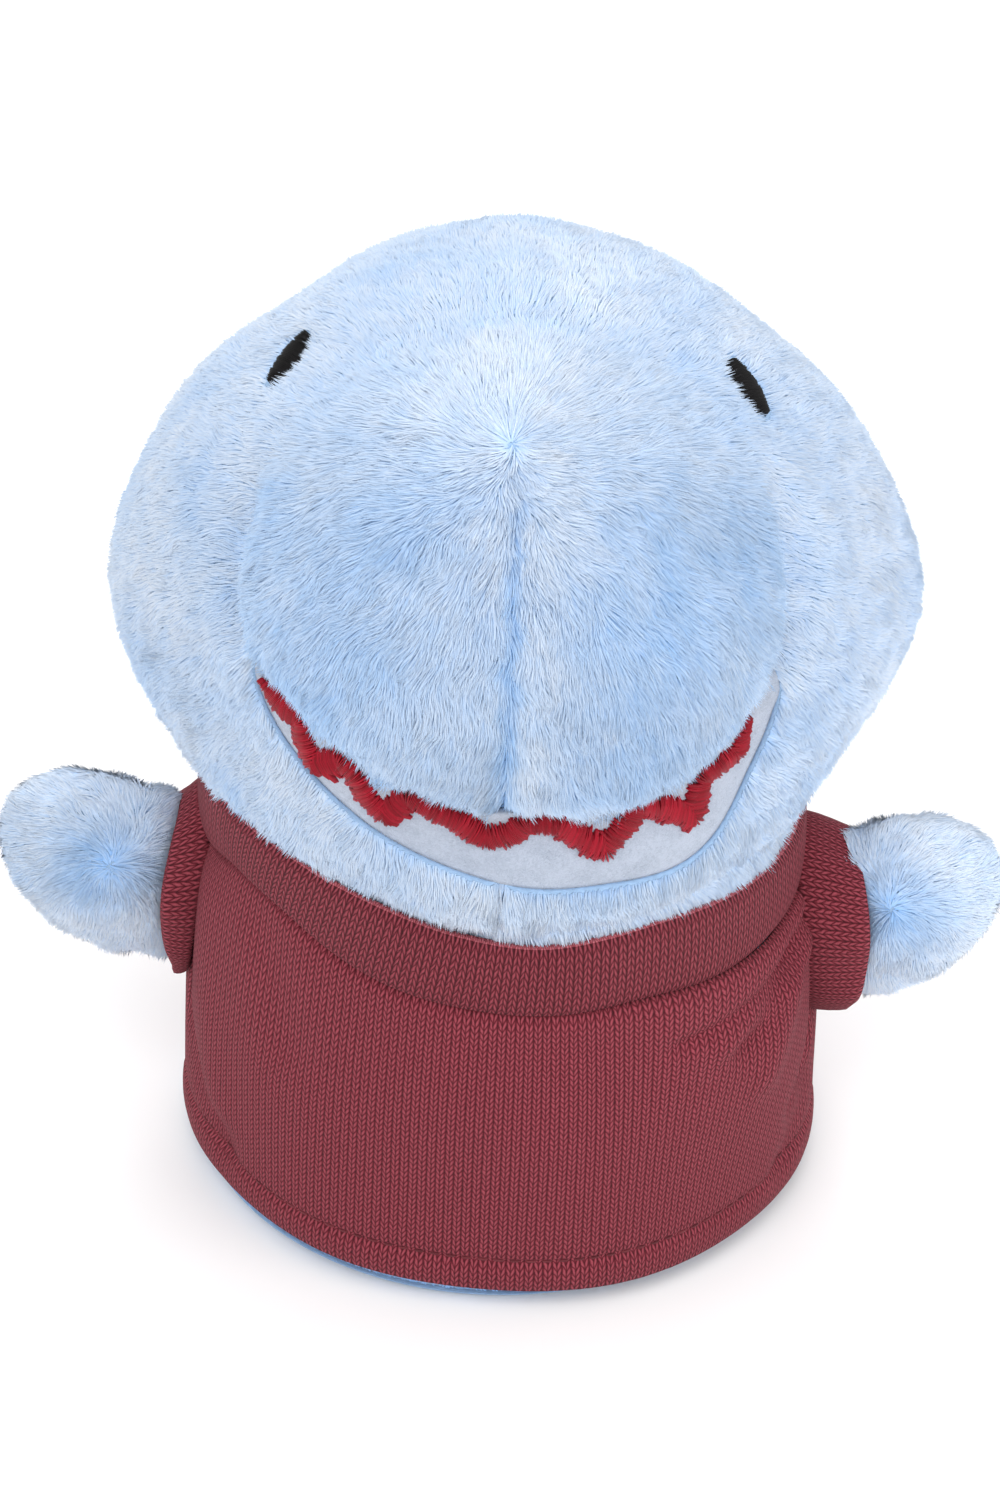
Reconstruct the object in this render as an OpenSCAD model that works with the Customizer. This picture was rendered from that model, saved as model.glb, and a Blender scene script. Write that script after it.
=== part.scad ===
// Small sitting plush shark in a knitted T-shirt.
// +Z is up, the shark faces -Y, and its own left side is +X.
// The origin is the middle of the flat base that it sits on.

/* [Head] */
// Half width of the head at the cheek points
head_half_w = 39.6; // [38:0.2:41]
// Half depth of the head
head_half_d = 32.3; // [31:0.2:34]
// Half height of the head
head_half_h = 35.2; // [34:0.2:36]
// Roundness of the head seen from the front: 2 is an ellipse, less is more pointed
head_power = 1.75; // [1.6:0.05:2]
// Height of the head's centre above the base
head_z = 66; // [65.5:0.5:68]
// How far the head's centre sits behind the middle of the body
head_back = 2; // [0:0.5:3]
// How sharply the head, snout and jaw run into each other
crease_power = 14; // [8:1:24]

/* [Snout] */
// How far the snout points up from level, in degrees
snout_tilt = 30; // [20:1:36]
// Half width of the snout
snout_half_w = 27; // [25:0.5:28]
// Half length of the snout
snout_half_l = 28; // [26:0.5:30]
// Half height of the snout
snout_half_h = 24.5; // [22:0.5:26]
// How far the snout's middle sits in front of the head's centre
snout_ahead = 14; // [10:0.5:15]

/* [Jaw] */
// Half sizes of the jaw: across, front to back, and up
jaw_half = [26, 24, 16.5]; // [10:0.5:30]
// Where the jaw's middle sits from the head's centre
jaw_place = [0, -9.5, -13]; // [-15:0.5:0]

/* [Mouth] */
// Angle from the snout's axis to the top edge of the snout, in degrees
snout_edge = 42; // [40:1:46]
// How much further out the snout's edge lies at its sides, in degrees
snout_spread = 4; // [0:0.5:6]
// Angle that each mouth corner sits below level, seen along the snout
corner_drop = 15; // [7.5:7.5:22.5]
// Widest part of the felt mouth, in degrees around the head's centre
felt_open = 9; // [6:1:12]
// Angle taken by one tooth of the stitched zigzag
tooth_pitch = 24; // [20:1:28]

/* [Eyes] */
// Angle from the snout's axis to each eye
eye_out = 60; // [55:1:65]
// Angle of each eye above level, seen along the snout
eye_up = 45; // [40:1:50]
// Half length and half width of an eye
eye_half = [2.9, 1.7]; // [1:0.1:4]

/* [Body] */
// Half width of the stuffed body
body_half_w = 30.8; // [30:0.2:31]
// Height at which the neck is sewn
neck_z = 38; // [37:0.5:38.5]
// Thickness of the plush fabric with its pile pressed down
plush_wall = 1.2; // [0.8:0.1:1.6]

/* [Shirt] */
// Half width of the shirt
shirt_half_w = 32.3; // [32:0.1:33]
// Height of the hem
hem_z = 2.2; // [1.5:0.1:4]
// Height of the seam under the collar
collar_z = 36; // [35.6:0.1:36.5]
// Height of the collar's rim
collar_top = 43.6; // [42:0.2:43.8]
// Thickness of the knitted cloth
knit_wall = 1.0; // [0.7:0.1:1.1]

/* [Side fins] */
// Distance of each side fin's seam from the middle
fin_seam_x = 29.5; // [29:0.1:30]
// Half length and half height of a side fin
fin_half = [9.2, 11.4]; // [8:0.1:12]
// Half thickness of a side fin
fin_half_t = 4.6; // [3.5:0.1:4.8]
// Radius of the rolled fabric along the fin's seam
fin_hub_r = 4.2; // [3.8:0.1:4.3]

/* [Dorsal fin] */
// How far the dorsal fin stands out from the head
dorsal_h = 15; // [10:0.5:16]
// Half length of the seam that holds the dorsal fin
dorsal_half_l = 10.5; // [8:0.5:11]
// Half thickness of the dorsal fin
dorsal_half_t = 2.3; // [1.8:0.1:2.4]

/* [Hidden] */
$fn = 72;
step = 7.5;               // angle between columns of the head's skin
crown_edge = 97.5;        // angle from the snout's axis to the seam behind the cheeks
felt_min = 1.5;           // width of the felt at the mouth corners, in degrees
gap = 0.4;                // clearance between pieces that move on each other
felt_wall = 0.9;
stitch_h = 0.6;           // how far stitching stands proud of its fabric
ease = 0.3;               // room between a panel and the filling behind it
head_c = [0, head_back, head_z];
across = [1, 0, 0];
ahead = [0, -cos(snout_tilt), sin(snout_tilt)];
upward = [0, sin(snout_tilt), cos(snout_tilt)];
pile_blue = "lightsteelblue";

// ---- the head's skin, measured along rays from the head's centre ----

// Direction at angle t from the snout's axis and angle p around it
function ray(t, p) = cos(t) * ahead + sin(t) * (cos(p) * across + sin(p) * upward);

// Distance along a ray d to an ellipsoid of half sizes r whose middle is at c
function reach(d, c, r) =
    let (q = [d.x / r.x, d.y / r.y, d.z / r.z],
         m = [c.x / r.x, c.y / r.y, c.z / r.z],
         a = q * q, b = q * m)
    (b + sqrt(b * b - a * (m * m - 1))) / a;

// Distance to the rounded diamond of the skull alone
function skull(d) =
    pow(pow(abs(d.x) / head_half_w, head_power)
        + pow(pow(d.y / head_half_d, 2) + pow(d.z / head_half_h, 2), head_power / 2),
        -1 / head_power);

// Distance to the whole head: skull, snout and jaw run into each other
function head_r(d) =
    let (s = [d * across, d * ahead, d * upward],
         snout = reach(s, [0, snout_ahead, -1], [snout_half_w, snout_half_l, snout_half_h]),
         jaw = reach(d, jaw_place, jaw_half),
         k = crease_power)
    pow(pow(skull(d), k) + pow(snout, k) + pow(jaw, k), 1 / k);

function skin(d, lift = 0) = head_c + d * (head_r(d) + lift);

// ---- closed pieces from two grids of points ----

// Two triangles for a grid cell, or one where the cell ends at a pole
function cell(a, b, c, d) = a == d ? [[a, b, c]] : [[a, b, c], [a, c, d]];

// A sewn panel: outer(u, v) and inner(u, v) give its two faces for u and v from 0 to 1.
// A loop joins v = 1 to v = 0, and a pole draws the whole edge u = 0 to one point.
module panel(outer, inner, rows, cols, loop = false, pole = false) {
    w = loop ? cols : cols + 1;
    first = pole ? 1 : 0;
    grid = function (face) concat(pole ? [face(0, 0)] : [],
        [for (i = [first : rows]) for (j = [0 : w - 1]) face(i / rows, j / cols)]);
    id = function (i, j) pole && i == 0 ? 0 : first + (i - first) * w + (loop ? j % w : j);
    front = grid(outer);
    n = len(front);
    faces = concat(
        [for (i = [0 : rows - 1]) for (j = [0 : cols - 1])
            each cell(id(i, j), id(i + 1, j), id(i + 1, j + 1), id(i, j + 1))],
        [for (i = [0 : rows - 1]) for (j = [0 : cols - 1])
            each [for (f = cell(id(i, j), id(i + 1, j), id(i + 1, j + 1), id(i, j + 1)))
                [f[2] + n, f[1] + n, f[0] + n]]],
        [for (j = [0 : cols - 1]) let (a = id(rows, j), b = id(rows, j + 1))
            each [[a, a + n, b + n], [a, b + n, b]]],
        pole ? [] : [for (j = [0 : cols - 1]) let (a = id(0, j), b = id(0, j + 1))
            each [[b, b + n, a + n], [b, a + n, a]]],
        loop ? [] : [for (i = [0 : rows - 1]) let (a = id(i, 0), b = id(i + 1, 0))
            each [[a, a + n, b + n], [a, b + n, b]]],
        loop ? [] : [for (i = [0 : rows - 1]) let (a = id(i, cols), b = id(i + 1, cols))
            each [[b, b + n, a + n], [b, a + n, a]]]);
    polyhedron(points = concat(front, grid(inner)), faces = faces);
}

// A stuffed lump: at(u, v) gives its face, with a pole at u = 0 and at u = 1
module lump(at, rows, cols) {
    last = 1 + (rows - 1) * cols;
    id = function (i, j) i == 0 ? 0 : i == rows ? last : 1 + (i - 1) * cols + j % cols;
    points = concat([at(0, 0)],
        [for (i = [1 : rows - 1]) for (j = [0 : cols - 1]) at(i / rows, j / cols)],
        [at(1, 0)]);
    faces = [for (i = [0 : rows - 1]) for (j = [0 : cols - 1])
        each i == rows - 1 ? [[id(i, j), last, id(i, j + 1)]]
            : cell(id(i, j), id(i + 1, j), id(i + 1, j + 1), id(i, j + 1))];
    polyhedron(points = points, faces = faces);
}

// A head panel between angles p0 and p1 around the snout, and t0(p) and t1(p) from its axis
module head_panel(p0, p1, t0, t1, rows, out = 0, wall = plush_wall, cols = 0,
                  loop = false, pole = false) {
    n = cols > 0 ? cols : round(abs(p1 - p0) / step);
    at = function (u, v, lift)
        let (p = p0 + (p1 - p0) * v)
        skin(ray(t0(p) + (t1(p) - t0(p)) * u, p), lift);
    panel(function (u, v) at(u, v, out), function (u, v) at(u, v, out - wall),
          rows, n, loop, pole);
}

// Removes everything below the head's side of the neck seam
module above_neck() {
    difference() {
        children();
        translate([-60, -60, neck_z + gap - 60]) cube([120, 120, 60]);
    }
}

// ---- head ----

corner_right = -180 + corner_drop;   // mouth corner on the shark's right
corner_left = -corner_drop;

// Angle from the snout's axis to the snout's edge, which dips in above the mouth
function lip(p) = snout_edge + snout_spread * (pow(cos(p), 2) - pow(max(0, -sin(p)), 2));

// Angle from the snout's axis to the felt's lower edge
function felt_edge(p) =
    lip(corner_left) + felt_min
    + felt_open * pow(max(0, sin(180 * (p - corner_right) / (corner_left - corner_right))), 0.8);

module snout_panel() {
    color(pile_blue)
        head_panel(0, 360, function (p) 0, function (p) lip(p), 7, loop = true, pole = true);
}

module crown_panel() {
    color(pile_blue)
        head_panel(corner_left, 180 + corner_drop, function (p) lip(p),
                   function (p) crown_edge, 8);
}

module mouth_felt() {
    color("gainsboro")
        head_panel(corner_right, corner_left, function (p) lip(p),
                   function (p) felt_edge(p), 4, wall = felt_wall);
}

// Angle of the zigzag's middle line on the felt: it swings once for each tooth
function tooth_line(p) =
    let (turn = p / tooth_pitch - floor(p / tooth_pitch), swing = 2 * abs(2 * turn - 1) - 1)
    lip(p) + (felt_edge(p) - lip(p)) * (0.3 + 0.11 * swing);

// Half width of the zigzag, which runs out to a thin end at each mouth corner
function tooth_half(p) =
    0.3 + 1.6 * min(1, (p - corner_right - 6) / 12, (corner_left - 6 - p) / 12);

module mouth_stitching() {
    color("firebrick")
        head_panel(corner_right + 6, corner_left - 6,
                   function (p) tooth_line(p) - tooth_half(p),
                   function (p) tooth_line(p) + tooth_half(p),
                   1, out = stitch_h + 0.12, wall = stitch_h, cols = 69);
}

module jaw_panel(p0, p1) {
    color(pile_blue) above_neck()
        head_panel(p0, p1, function (p) felt_edge(p), function (p) crown_edge, 7);
}
module right_jaw_panel() { jaw_panel(corner_right, -90); }
module left_jaw_panel() { jaw_panel(-90, corner_left); }

// The back of the head is closed by two panels that meet in the middle,
// where the dorsal fin is sewn into their seam
module head_back_panel(p0, p1) {
    color(pile_blue) difference() {
        above_neck()
            head_panel(p0, p1, function (p) 180, function (p) crown_edge, 11, pole = true);
        on_back() dorsal_hub(gap);
    }
}
module left_head_back_panel() { head_back_panel(90, -90); }
module right_head_back_panel() { head_back_panel(270, 90); }

module head_filling() {
    fill = function (u, v) skin(ray(180 * u, 360 * v), -plush_wall - ease);
    color("white") difference() {
        above_neck() lump(fill, 24, 48);
        on_back() dorsal_hub(gap);
    }
}

// An embroidered oval, turned a little so that its upper end leans inwards
module eye(side) {
    middle = ray(eye_out, side > 0 ? eye_up : 180 - eye_up);
    out_way = ray(eye_out + 90, side > 0 ? eye_up : 180 - eye_up);
    round_way = cross(middle, out_way);
    lean = 18 * side;
    at = function (u, v, lift)
        let (a = 360 * v,
             l = eye_half[0] * u * cos(a), w = eye_half[1] * u * sin(a),
             along = round_way * cos(lean) + out_way * sin(lean),
             over = out_way * cos(lean) - round_way * sin(lean),
             d = middle * head_r(middle) + along * l + over * w)
        skin(d / norm(d), lift * (1 - 0.6 * u * u));
    color("black")
        panel(function (u, v) at(u, v, stitch_h), function (u, v) at(u, v, 0.02),
              3, 24, loop = true, pole = true);
}
module left_eye() { eye(1); }
module right_eye() { eye(-1); }

// ---- dorsal fin ----

back_drop = 8;            // the seam's middle sits this far below the head's centre
seam_c = skin([0, cos(back_drop), -sin(back_drop)]);
hub_r = 3;                // rolled fabric along the dorsal fin's seam
inset = 0.82;             // size of the filling against its fin

// Puts a piece at the seam: Y points out of the head and Z runs up the seam
module on_back() {
    translate(seam_c) rotate([-back_drop, 0, 0]) children();
}

module dorsal_hub(extra = 0) {
    translate([0, 0, -dorsal_half_l - extra])
        cylinder(r = hub_r + extra, h = 2 * (dorsal_half_l + extra));
}

// Outline with a long curved leading edge on top, a round tip and a hollow trailing edge
module dorsal_outline() {
    tip_r = 3;
    tip_s = 3.5 - dorsal_half_l;
    lead = [for (a = [0 : 6 : 78])
        [dorsal_h * sin(a), tip_s + (dorsal_half_l - tip_s) * cos(a)]];
    tip = [for (a = [40 : -20 : -90]) [dorsal_h - tip_r + tip_r * cos(a), tip_s + tip_r * sin(a)]];
    trail = [for (k = [0.1 : 0.1 : 1])
        [(dorsal_h - tip_r) * (1 - k), tip_s - tip_r + 1.4 * sin(90 * k)]];
    polygon(concat(lead, tip, trail));
}

// One flat layer of the dorsal fin, from x0 to x1
module dorsal_layer(x0, x1, size = 1) {
    translate([x0, 0, 0]) rotate([90, 0, 90]) linear_extrude(x1 - x0)
        translate([5, -1]) scale(size) translate([-5, 1]) dorsal_outline();
}

module dorsal_panel(side) {
    core = dorsal_half_t - plush_wall;
    color(pile_blue) on_back() mirror([side < 0 ? 1 : 0, 0, 0]) difference() {
        dorsal_layer(0, dorsal_half_t);
        dorsal_layer(-1, core, inset);
        dorsal_hub();
    }
}
module dorsal_fin_left_panel() { dorsal_panel(1); }
module dorsal_fin_right_panel() { dorsal_panel(-1); }

module dorsal_fin_filling() {
    core = dorsal_half_t - plush_wall;
    color("white") on_back() {
        dorsal_hub();
        dorsal_layer(-core, core, inset);
    }
}

// ---- side fins ----

fin_y = -1;
fin_z = 29.6;             // height of a side fin's middle
hub_low = 21;             // lower end and length of the fin's seam
hub_long = 14.4;
fin_x = fin_seam_x + 2.3 + fin_half[0];

// The seam's rolled fabric stands upright, so that the fin swings forwards and back
module fin_hub(side, extra = 0) {
    translate([side * fin_seam_x, fin_y, hub_low - extra])
        cylinder(r = fin_hub_r + extra, h = hub_long + 2 * extra);
}

// A point of the fin's face: u runs from the middle to the seam, v goes round,
// and the outer end sits a little higher than the root and is less tall
function fin_point(side, face, u, v, cut) =
    let (a = 360 * v * side * face,
         taper = 1 - 0.12 * cos(a),
         x = fin_x + (fin_half[0] - cut) * u * cos(a),
         z = fin_z + (fin_half[1] - cut) * taper * u * sin(a) + 1.6 * u * cos(a),
         y = fin_y + face * (fin_half_t - cut) * sqrt(1 - pow(u, 2.6)))
    [side * x, y, z];

// face is -1 for the front panel and 1 for the back one
module fin_panel(side, face) {
    color(pile_blue) difference() {
        panel(function (u, v) fin_point(side, face, u, v, 0),
              function (u, v) fin_point(side, face, u, v, plush_wall),
              6, 24, loop = true, pole = true);
        fin_hub(side);
    }
}
module left_fin_front_panel() { fin_panel(1, -1); }
module left_fin_back_panel() { fin_panel(1, 1); }
module right_fin_front_panel() { fin_panel(-1, -1); }
module right_fin_back_panel() { fin_panel(-1, 1); }

module fin_filling(side) {
    // the lump runs from the front middle, out to the rim, and in to the back middle
    at = function (u, v)
        let (face = u < 0.5 ? -1 : 1, r = 1 - abs(2 * u - 1))
        fin_point(side, face, min(1, r), -face * v, plush_wall + ease);
    color("white") {
        lump(at, 10, 24);
        fin_hub(side);
    }
}
module left_fin_filling() { fin_filling(1); }
module right_fin_filling() { fin_filling(-1); }

// ---- body ----

body_mid_z = 14;
body_half_h = (neck_z - body_mid_z) * 1.0125;
base_wall = 0.9;

// Radius of the stuffed body at height z
function body_r(z) =
    body_half_w * pow(1 - pow(abs(z - body_mid_z) / body_half_h, 6), 1 / 6);

// Half of a cloth tube from height z0 to z1, where r_at(z) is its outer radius.
// A turn of 0 gives the back half and 180 the front half. Both fins' seams stay open.
module cloth_half(r_at, z0, z1, wall, turn) {
    rows = 16;
    heights = [for (i = [0 : rows]) z0 + (z1 - z0) * i / rows];
    difference() {
        rotate_extrude()
            polygon(concat([for (z = heights) [r_at(z), z]],
                [for (i = [rows : -1 : 0]) [r_at(heights[i]) - wall, heights[i]]]));
        rotate([0, 0, turn]) translate([-60, -60, -1]) cube([120, 60, 60]);
        fin_hub(1, gap);
        fin_hub(-1, gap);
    }
}

module body_front_panel() {
    color(pile_blue) cloth_half(function (z) body_r(z), base_wall, neck_z, plush_wall, 180);
}
module body_back_panel() {
    color(pile_blue) cloth_half(function (z) body_r(z), base_wall, neck_z, plush_wall, 0);
}

module base_panel() {
    color(pile_blue) cylinder(r = body_r(0), h = base_wall);
}

bag_z = 9.5;
bag_half = [20, 7];

// Half section of the bag, an ellipse
module bag_section(extra = 0) {
    polygon([for (a = [-90 : 10 : 90])
        [(bag_half[0] + extra) * cos(a), bag_z + (bag_half[1] + extra) * sin(a)]]);
}

module pellet_bag() {
    color("ivory") rotate_extrude() bag_section();
}

module body_filling() {
    heights = [for (i = [0 : 16]) base_wall + (neck_z - base_wall) * i / 16];
    color("white") difference() {
        rotate_extrude() difference() {
            polygon(concat([[0, base_wall]],
                [for (z = heights) [body_r(z) - plush_wall - ease, z]], [[0, neck_z]]));
            bag_section(0.1);
        }
        fin_hub(1, gap);
        fin_hub(-1, gap);
    }
}

// ---- shirt ----

shirt_straight = 18;      // the shirt hangs straight up to here
shoulder_in = 2.1;        // and has drawn in by this much at the collar

// Outer radius of the shirt and collar at height z
function shirt_r(z) =
    shirt_half_w - shoulder_in
    * pow(max(0, min(z, collar_z) - shirt_straight) / (collar_z - shirt_straight), 2);

module shirt_front() {
    color("brown") cloth_half(function (z) shirt_r(z), hem_z, collar_z, knit_wall, 180);
}
module shirt_back() {
    color("brown") cloth_half(function (z) shirt_r(z), hem_z, collar_z, knit_wall, 0);
}

// The collar is a folded band of rib knit with a rounded rim
module shirt_collar() {
    r = shirt_r(collar_z);
    rim = 0.55;
    color("maroon") rotate_extrude() {
        translate([r - 2 * rim, collar_z]) square([2 * rim, collar_top - rim - collar_z]);
        translate([r - rim, collar_top - rim]) circle(r = rim);
    }
}

// A short flared sleeve around each side fin's root
sleeve_half = [7.2, 12.2];
sleeve_flare = 0.9;
sleeve_end = 34.5;

module sleeve(side) {
    at = function (u, v, cut)
        let (a = 360 * v * side,
             y = fin_y + (sleeve_half[0] + sleeve_flare * u + cut) * cos(a),
             z = fin_z + (sleeve_half[1] + sleeve_flare * u + cut) * sin(a),
             near = sqrt(pow(shirt_r(z) + 0.1, 2) - y * y))
        [side * (near + (sleeve_end - near) * u), y, z];
    color("brown")
        panel(function (u, v) at(u, v, knit_wall), function (u, v) at(u, v, 0),
              3, 36, loop = true);
}
module left_sleeve() { sleeve(1); }
module right_sleeve() { sleeve(-1); }

// One sewn line round the shirt holds the folded hem
module hem_stitching() {
    thread_r = 0.25;
    color("maroon") rotate_extrude()
        translate([shirt_half_w + thread_r + 0.01, hem_z + 4]) circle(r = thread_r, $fn = 16);
}

snout_panel();
crown_panel();
mouth_felt();
mouth_stitching();
left_jaw_panel();
right_jaw_panel();
left_head_back_panel();
right_head_back_panel();
head_filling();
left_eye();
right_eye();
dorsal_fin_left_panel();
dorsal_fin_right_panel();
dorsal_fin_filling();
left_fin_front_panel();
left_fin_back_panel();
left_fin_filling();
right_fin_front_panel();
right_fin_back_panel();
right_fin_filling();
body_front_panel();
body_back_panel();
base_panel();
body_filling();
pellet_bag();
shirt_front();
shirt_back();
shirt_collar();
left_sleeve();
right_sleeve();
hem_stitching();
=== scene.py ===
import math

import bmesh
import bpy
import numpy as np
from mathutils import Matrix, Vector


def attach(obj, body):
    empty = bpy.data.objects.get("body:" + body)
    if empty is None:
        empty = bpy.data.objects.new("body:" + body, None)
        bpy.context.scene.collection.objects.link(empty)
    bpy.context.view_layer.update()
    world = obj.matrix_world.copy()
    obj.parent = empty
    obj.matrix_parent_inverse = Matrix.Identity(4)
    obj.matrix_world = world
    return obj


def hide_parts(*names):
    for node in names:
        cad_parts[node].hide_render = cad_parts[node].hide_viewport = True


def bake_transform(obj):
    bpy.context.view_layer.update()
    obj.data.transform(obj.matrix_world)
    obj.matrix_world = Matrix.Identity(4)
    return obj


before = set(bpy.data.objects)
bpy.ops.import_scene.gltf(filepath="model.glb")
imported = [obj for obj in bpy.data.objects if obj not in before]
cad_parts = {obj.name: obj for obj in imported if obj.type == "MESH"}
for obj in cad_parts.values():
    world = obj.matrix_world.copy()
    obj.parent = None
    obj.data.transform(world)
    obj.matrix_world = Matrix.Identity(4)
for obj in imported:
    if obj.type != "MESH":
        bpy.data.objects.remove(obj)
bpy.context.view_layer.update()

MM = 0.001

# ---------------------------------------------------------------- camera
# A standing camera looks down on the toy's face from straight ahead, turned a
# little on its own axis because the toy sits a little askew.
LOOK_DOWN = math.radians(36)
CAMERA_TURN = math.radians(2.3)
CAMERA_FAR = 0.600
VIEW_TALL = 0.150          # height of the view at the toy
SENSOR = 36
AIM_HIGH, AIM_UP, AIM_RIGHT = 42 * MM, 3 * MM, -0.5 * MM   # where it looks


def link(thing):
    """Puts a new object into the scene."""
    bpy.context.scene.collection.objects.link(thing)
    return thing


toward = Vector((0, -math.cos(LOOK_DOWN), math.sin(LOOK_DOWN)))
level = Vector((1, 0, 0))
above = Vector((0, math.sin(LOOK_DOWN), math.cos(LOOK_DOWN)))
right = level * math.cos(CAMERA_TURN) + above * math.sin(CAMERA_TURN)
top = above * math.cos(CAMERA_TURN) - level * math.sin(CAMERA_TURN)
aim = Vector((0, 0, AIM_HIGH)) + top * AIM_UP + right * AIM_RIGHT
camera = link(bpy.data.objects.new("camera", bpy.data.cameras.new("camera")))
camera.data.sensor_width = SENSOR
camera.data.lens = SENSOR * CAMERA_FAR / VIEW_TALL
camera.data.clip_start = 0.05
camera.matrix_world = Matrix.Translation(aim + toward * CAMERA_FAR) @ Matrix(
    (right, top, toward)).transposed().to_4x4()
bpy.context.scene.camera = camera
bpy.context.scene.view_settings.view_transform = "Standard"

# ---------------------------------------------------------------- room
# A white sweep and three large soft lamps: one in front, one on the toy's left
# and one behind. The world fills the shadows.
FLOOR = 3.0


def lamp(name, place, high, size, power):
    """A soft square lamp that looks at a height above the toy's base."""
    light = bpy.data.lights.new(name, "AREA")
    light.size, light.energy = size, power
    holder = link(bpy.data.objects.new(name, light))
    holder.location = place
    way = Vector((0, 0, high)) - Vector(place)
    holder.rotation_euler = way.to_track_quat("-Z", "Y").to_euler()


lamp("key_lamp", (-0.25, -0.55, 0.75), 0.05, 0.6, 2.9)
lamp("fill_lamp", (0.6, -0.35, 0.45), 0.05, 0.5, 1.9)
lamp("back_lamp", (0.0, 0.6, 0.65), 0.06, 0.6, 2.2)

world = bpy.data.worlds.new("studio")
world.use_nodes = True
sky = world.node_tree.nodes["Background"].inputs
sky["Color"].default_value = (1, 1, 1, 1)
sky["Strength"].default_value = 1.0
bpy.context.scene.world = world

floor_mesh = bpy.data.meshes.new("floor")
floor_mesh.from_pydata([(-FLOOR, -FLOOR, 0), (FLOOR, -FLOOR, 0), (FLOOR, FLOOR, 0),
                        (-FLOOR, FLOOR, 0)], [], [(0, 1, 2, 3)])
floor = link(bpy.data.objects.new("floor", floor_mesh))
floor_paint = bpy.data.materials.new("floor_paint")
floor_paint.use_nodes = True
floor_shader = floor_paint.node_tree.nodes["Principled BSDF"]
floor_shader.inputs["Base Color"].default_value = (0.93, 0.93, 0.93, 1)
floor_shader.inputs["Roughness"].default_value = 0.9
floor_mesh.materials.append(floor_paint)

# ---------------------------------------------------------------- head stuffing
# A lump of polyester fibre fills the head and gives it its shape: a rounded
# diamond with pointed cheeks, run together with the snout and the jaw, and
# drawn in along the seams and folds of the plush around it.
HEAD_CENTRE = np.array([0.0, 2.0, 66.0])
SKULL_HALF = (39.6, 32.3, 35.2)
SKULL_POWER = 1.75
SNOUT_TILT = math.radians(30)
SNOUT_HALF, SNOUT_PLACE = np.array([27, 28, 24.5]), np.array([0, 14, -1])
JAW_HALF, JAW_PLACE = np.array([26, 24, 16.5]), np.array([0, -9.5, -13])
CREASE_POWER = 14
NECK = 38.4                # height of the head's side of the neck seam
CROWN_EDGE = 97.5          # degrees from the snout's axis to the seam behind the cheeks
COLLAR_ROOM = 29.3         # radius of the space inside the collar
CORNERS = (-165, -15)      # degrees around the snout to the two mouth corners

# Degrees around the snout's axis, and degrees from it: the snout's edge, and the felt's lower edge
LIP = ((-180, 47), (-160, 43.9), (-150, 41.9), (-142, 39.9), (-134, 37.2), (-122, 37.2),
       (-110, 35.9), (-98, 36.9), (-84, 36.9), (-74, 39.4), (-60, 42.9), (-48, 44.9), (-35, 46.4),
       (-20, 48), (0, 47), (45, 45), (90, 43), (135, 45), (180, 47))
FELT_LOW = ((-165, 46.5), (-150, 50), (-122, 50), (-95, 51), (-72, 57.5), (-54, 63.5),
            (-35, 60.5), (-22, 54.5), (-15, 50))

ACROSS = np.array([1.0, 0, 0])
AHEAD = np.array([0, -math.cos(SNOUT_TILT), math.sin(SNOUT_TILT)])
UPWARD = np.array([0, math.sin(SNOUT_TILT), math.cos(SNOUT_TILT)])


def ray(t, p):
    """Direction at t degrees from the snout's axis and p degrees around it."""
    t, p = np.radians(t)[..., None], np.radians(p)[..., None]
    return np.cos(t) * AHEAD + np.sin(t) * (np.cos(p) * ACROSS + np.sin(p) * UPWARD)


def reach(d, middle, half):
    """Distance along d from the head's centre to an ellipsoid."""
    q, m = d / half, middle / half
    a, b = (q * q).sum(-1), (q * m).sum(-1)
    return (b + np.sqrt(b * b - a * ((m * m).sum() - 1))) / a


def head_reach(d):
    """Distance along d from the head's centre to the smooth head."""
    wide, deep, tall = (abs(d[..., k]) / SKULL_HALF[k] for k in range(3))
    skull = (wide**SKULL_POWER + (deep**2 + tall**2) ** (SKULL_POWER / 2)) ** (-1 / SKULL_POWER)
    along_snout = np.stack([d @ ACROSS, d @ AHEAD, d @ UPWARD], -1)
    snout = reach(along_snout, SNOUT_PLACE, SNOUT_HALF)
    jaw = reach(d, JAW_PLACE, JAW_HALF)
    return (skull**CREASE_POWER + snout**CREASE_POWER + jaw**CREASE_POWER) ** (1 / CREASE_POWER)


def ease(x):
    """A smooth rise from 0 to 1."""
    x = np.clip(x, 0, 1)
    return x * x * (3 - 2 * x)


def ridge(x, width):
    """A smooth ridge, 1 high where x is 0."""
    return np.exp(-((x / width) ** 2))


def unit(ways):
    return ways / np.linalg.norm(ways, axis=-1, keepdims=True)


def curve_through(points, x):
    """A smooth curve through points, read at x."""
    xs, ys = np.array(points, float).T
    slopes = np.gradient(ys, xs)
    i = np.clip(np.searchsorted(xs, x) - 1, 0, len(xs) - 2)
    gap = xs[i + 1] - xs[i]
    s = np.clip((x - xs[i]) / gap, 0, 1)
    return (ys[i] * (1 + 2 * s) * (1 - s) ** 2 + ys[i + 1] * s * s * (3 - 2 * s)
            + gap * (slopes[i] * s * (1 - s) ** 2 - slopes[i + 1] * s * s * (1 - s)))


def wrapped(p):
    return (np.asarray(p, float) + 180) % 360 - 180


def lip(p):
    return curve_through(LIP, wrapped(p))


def felt_low(p):
    return curve_through(FELT_LOW, wrapped(p))


def in_mouth(p):
    """1 along the mouth, 0 outside its corners."""
    return ease((79 - abs(wrapped(p) + 90)) / 14)


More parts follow.
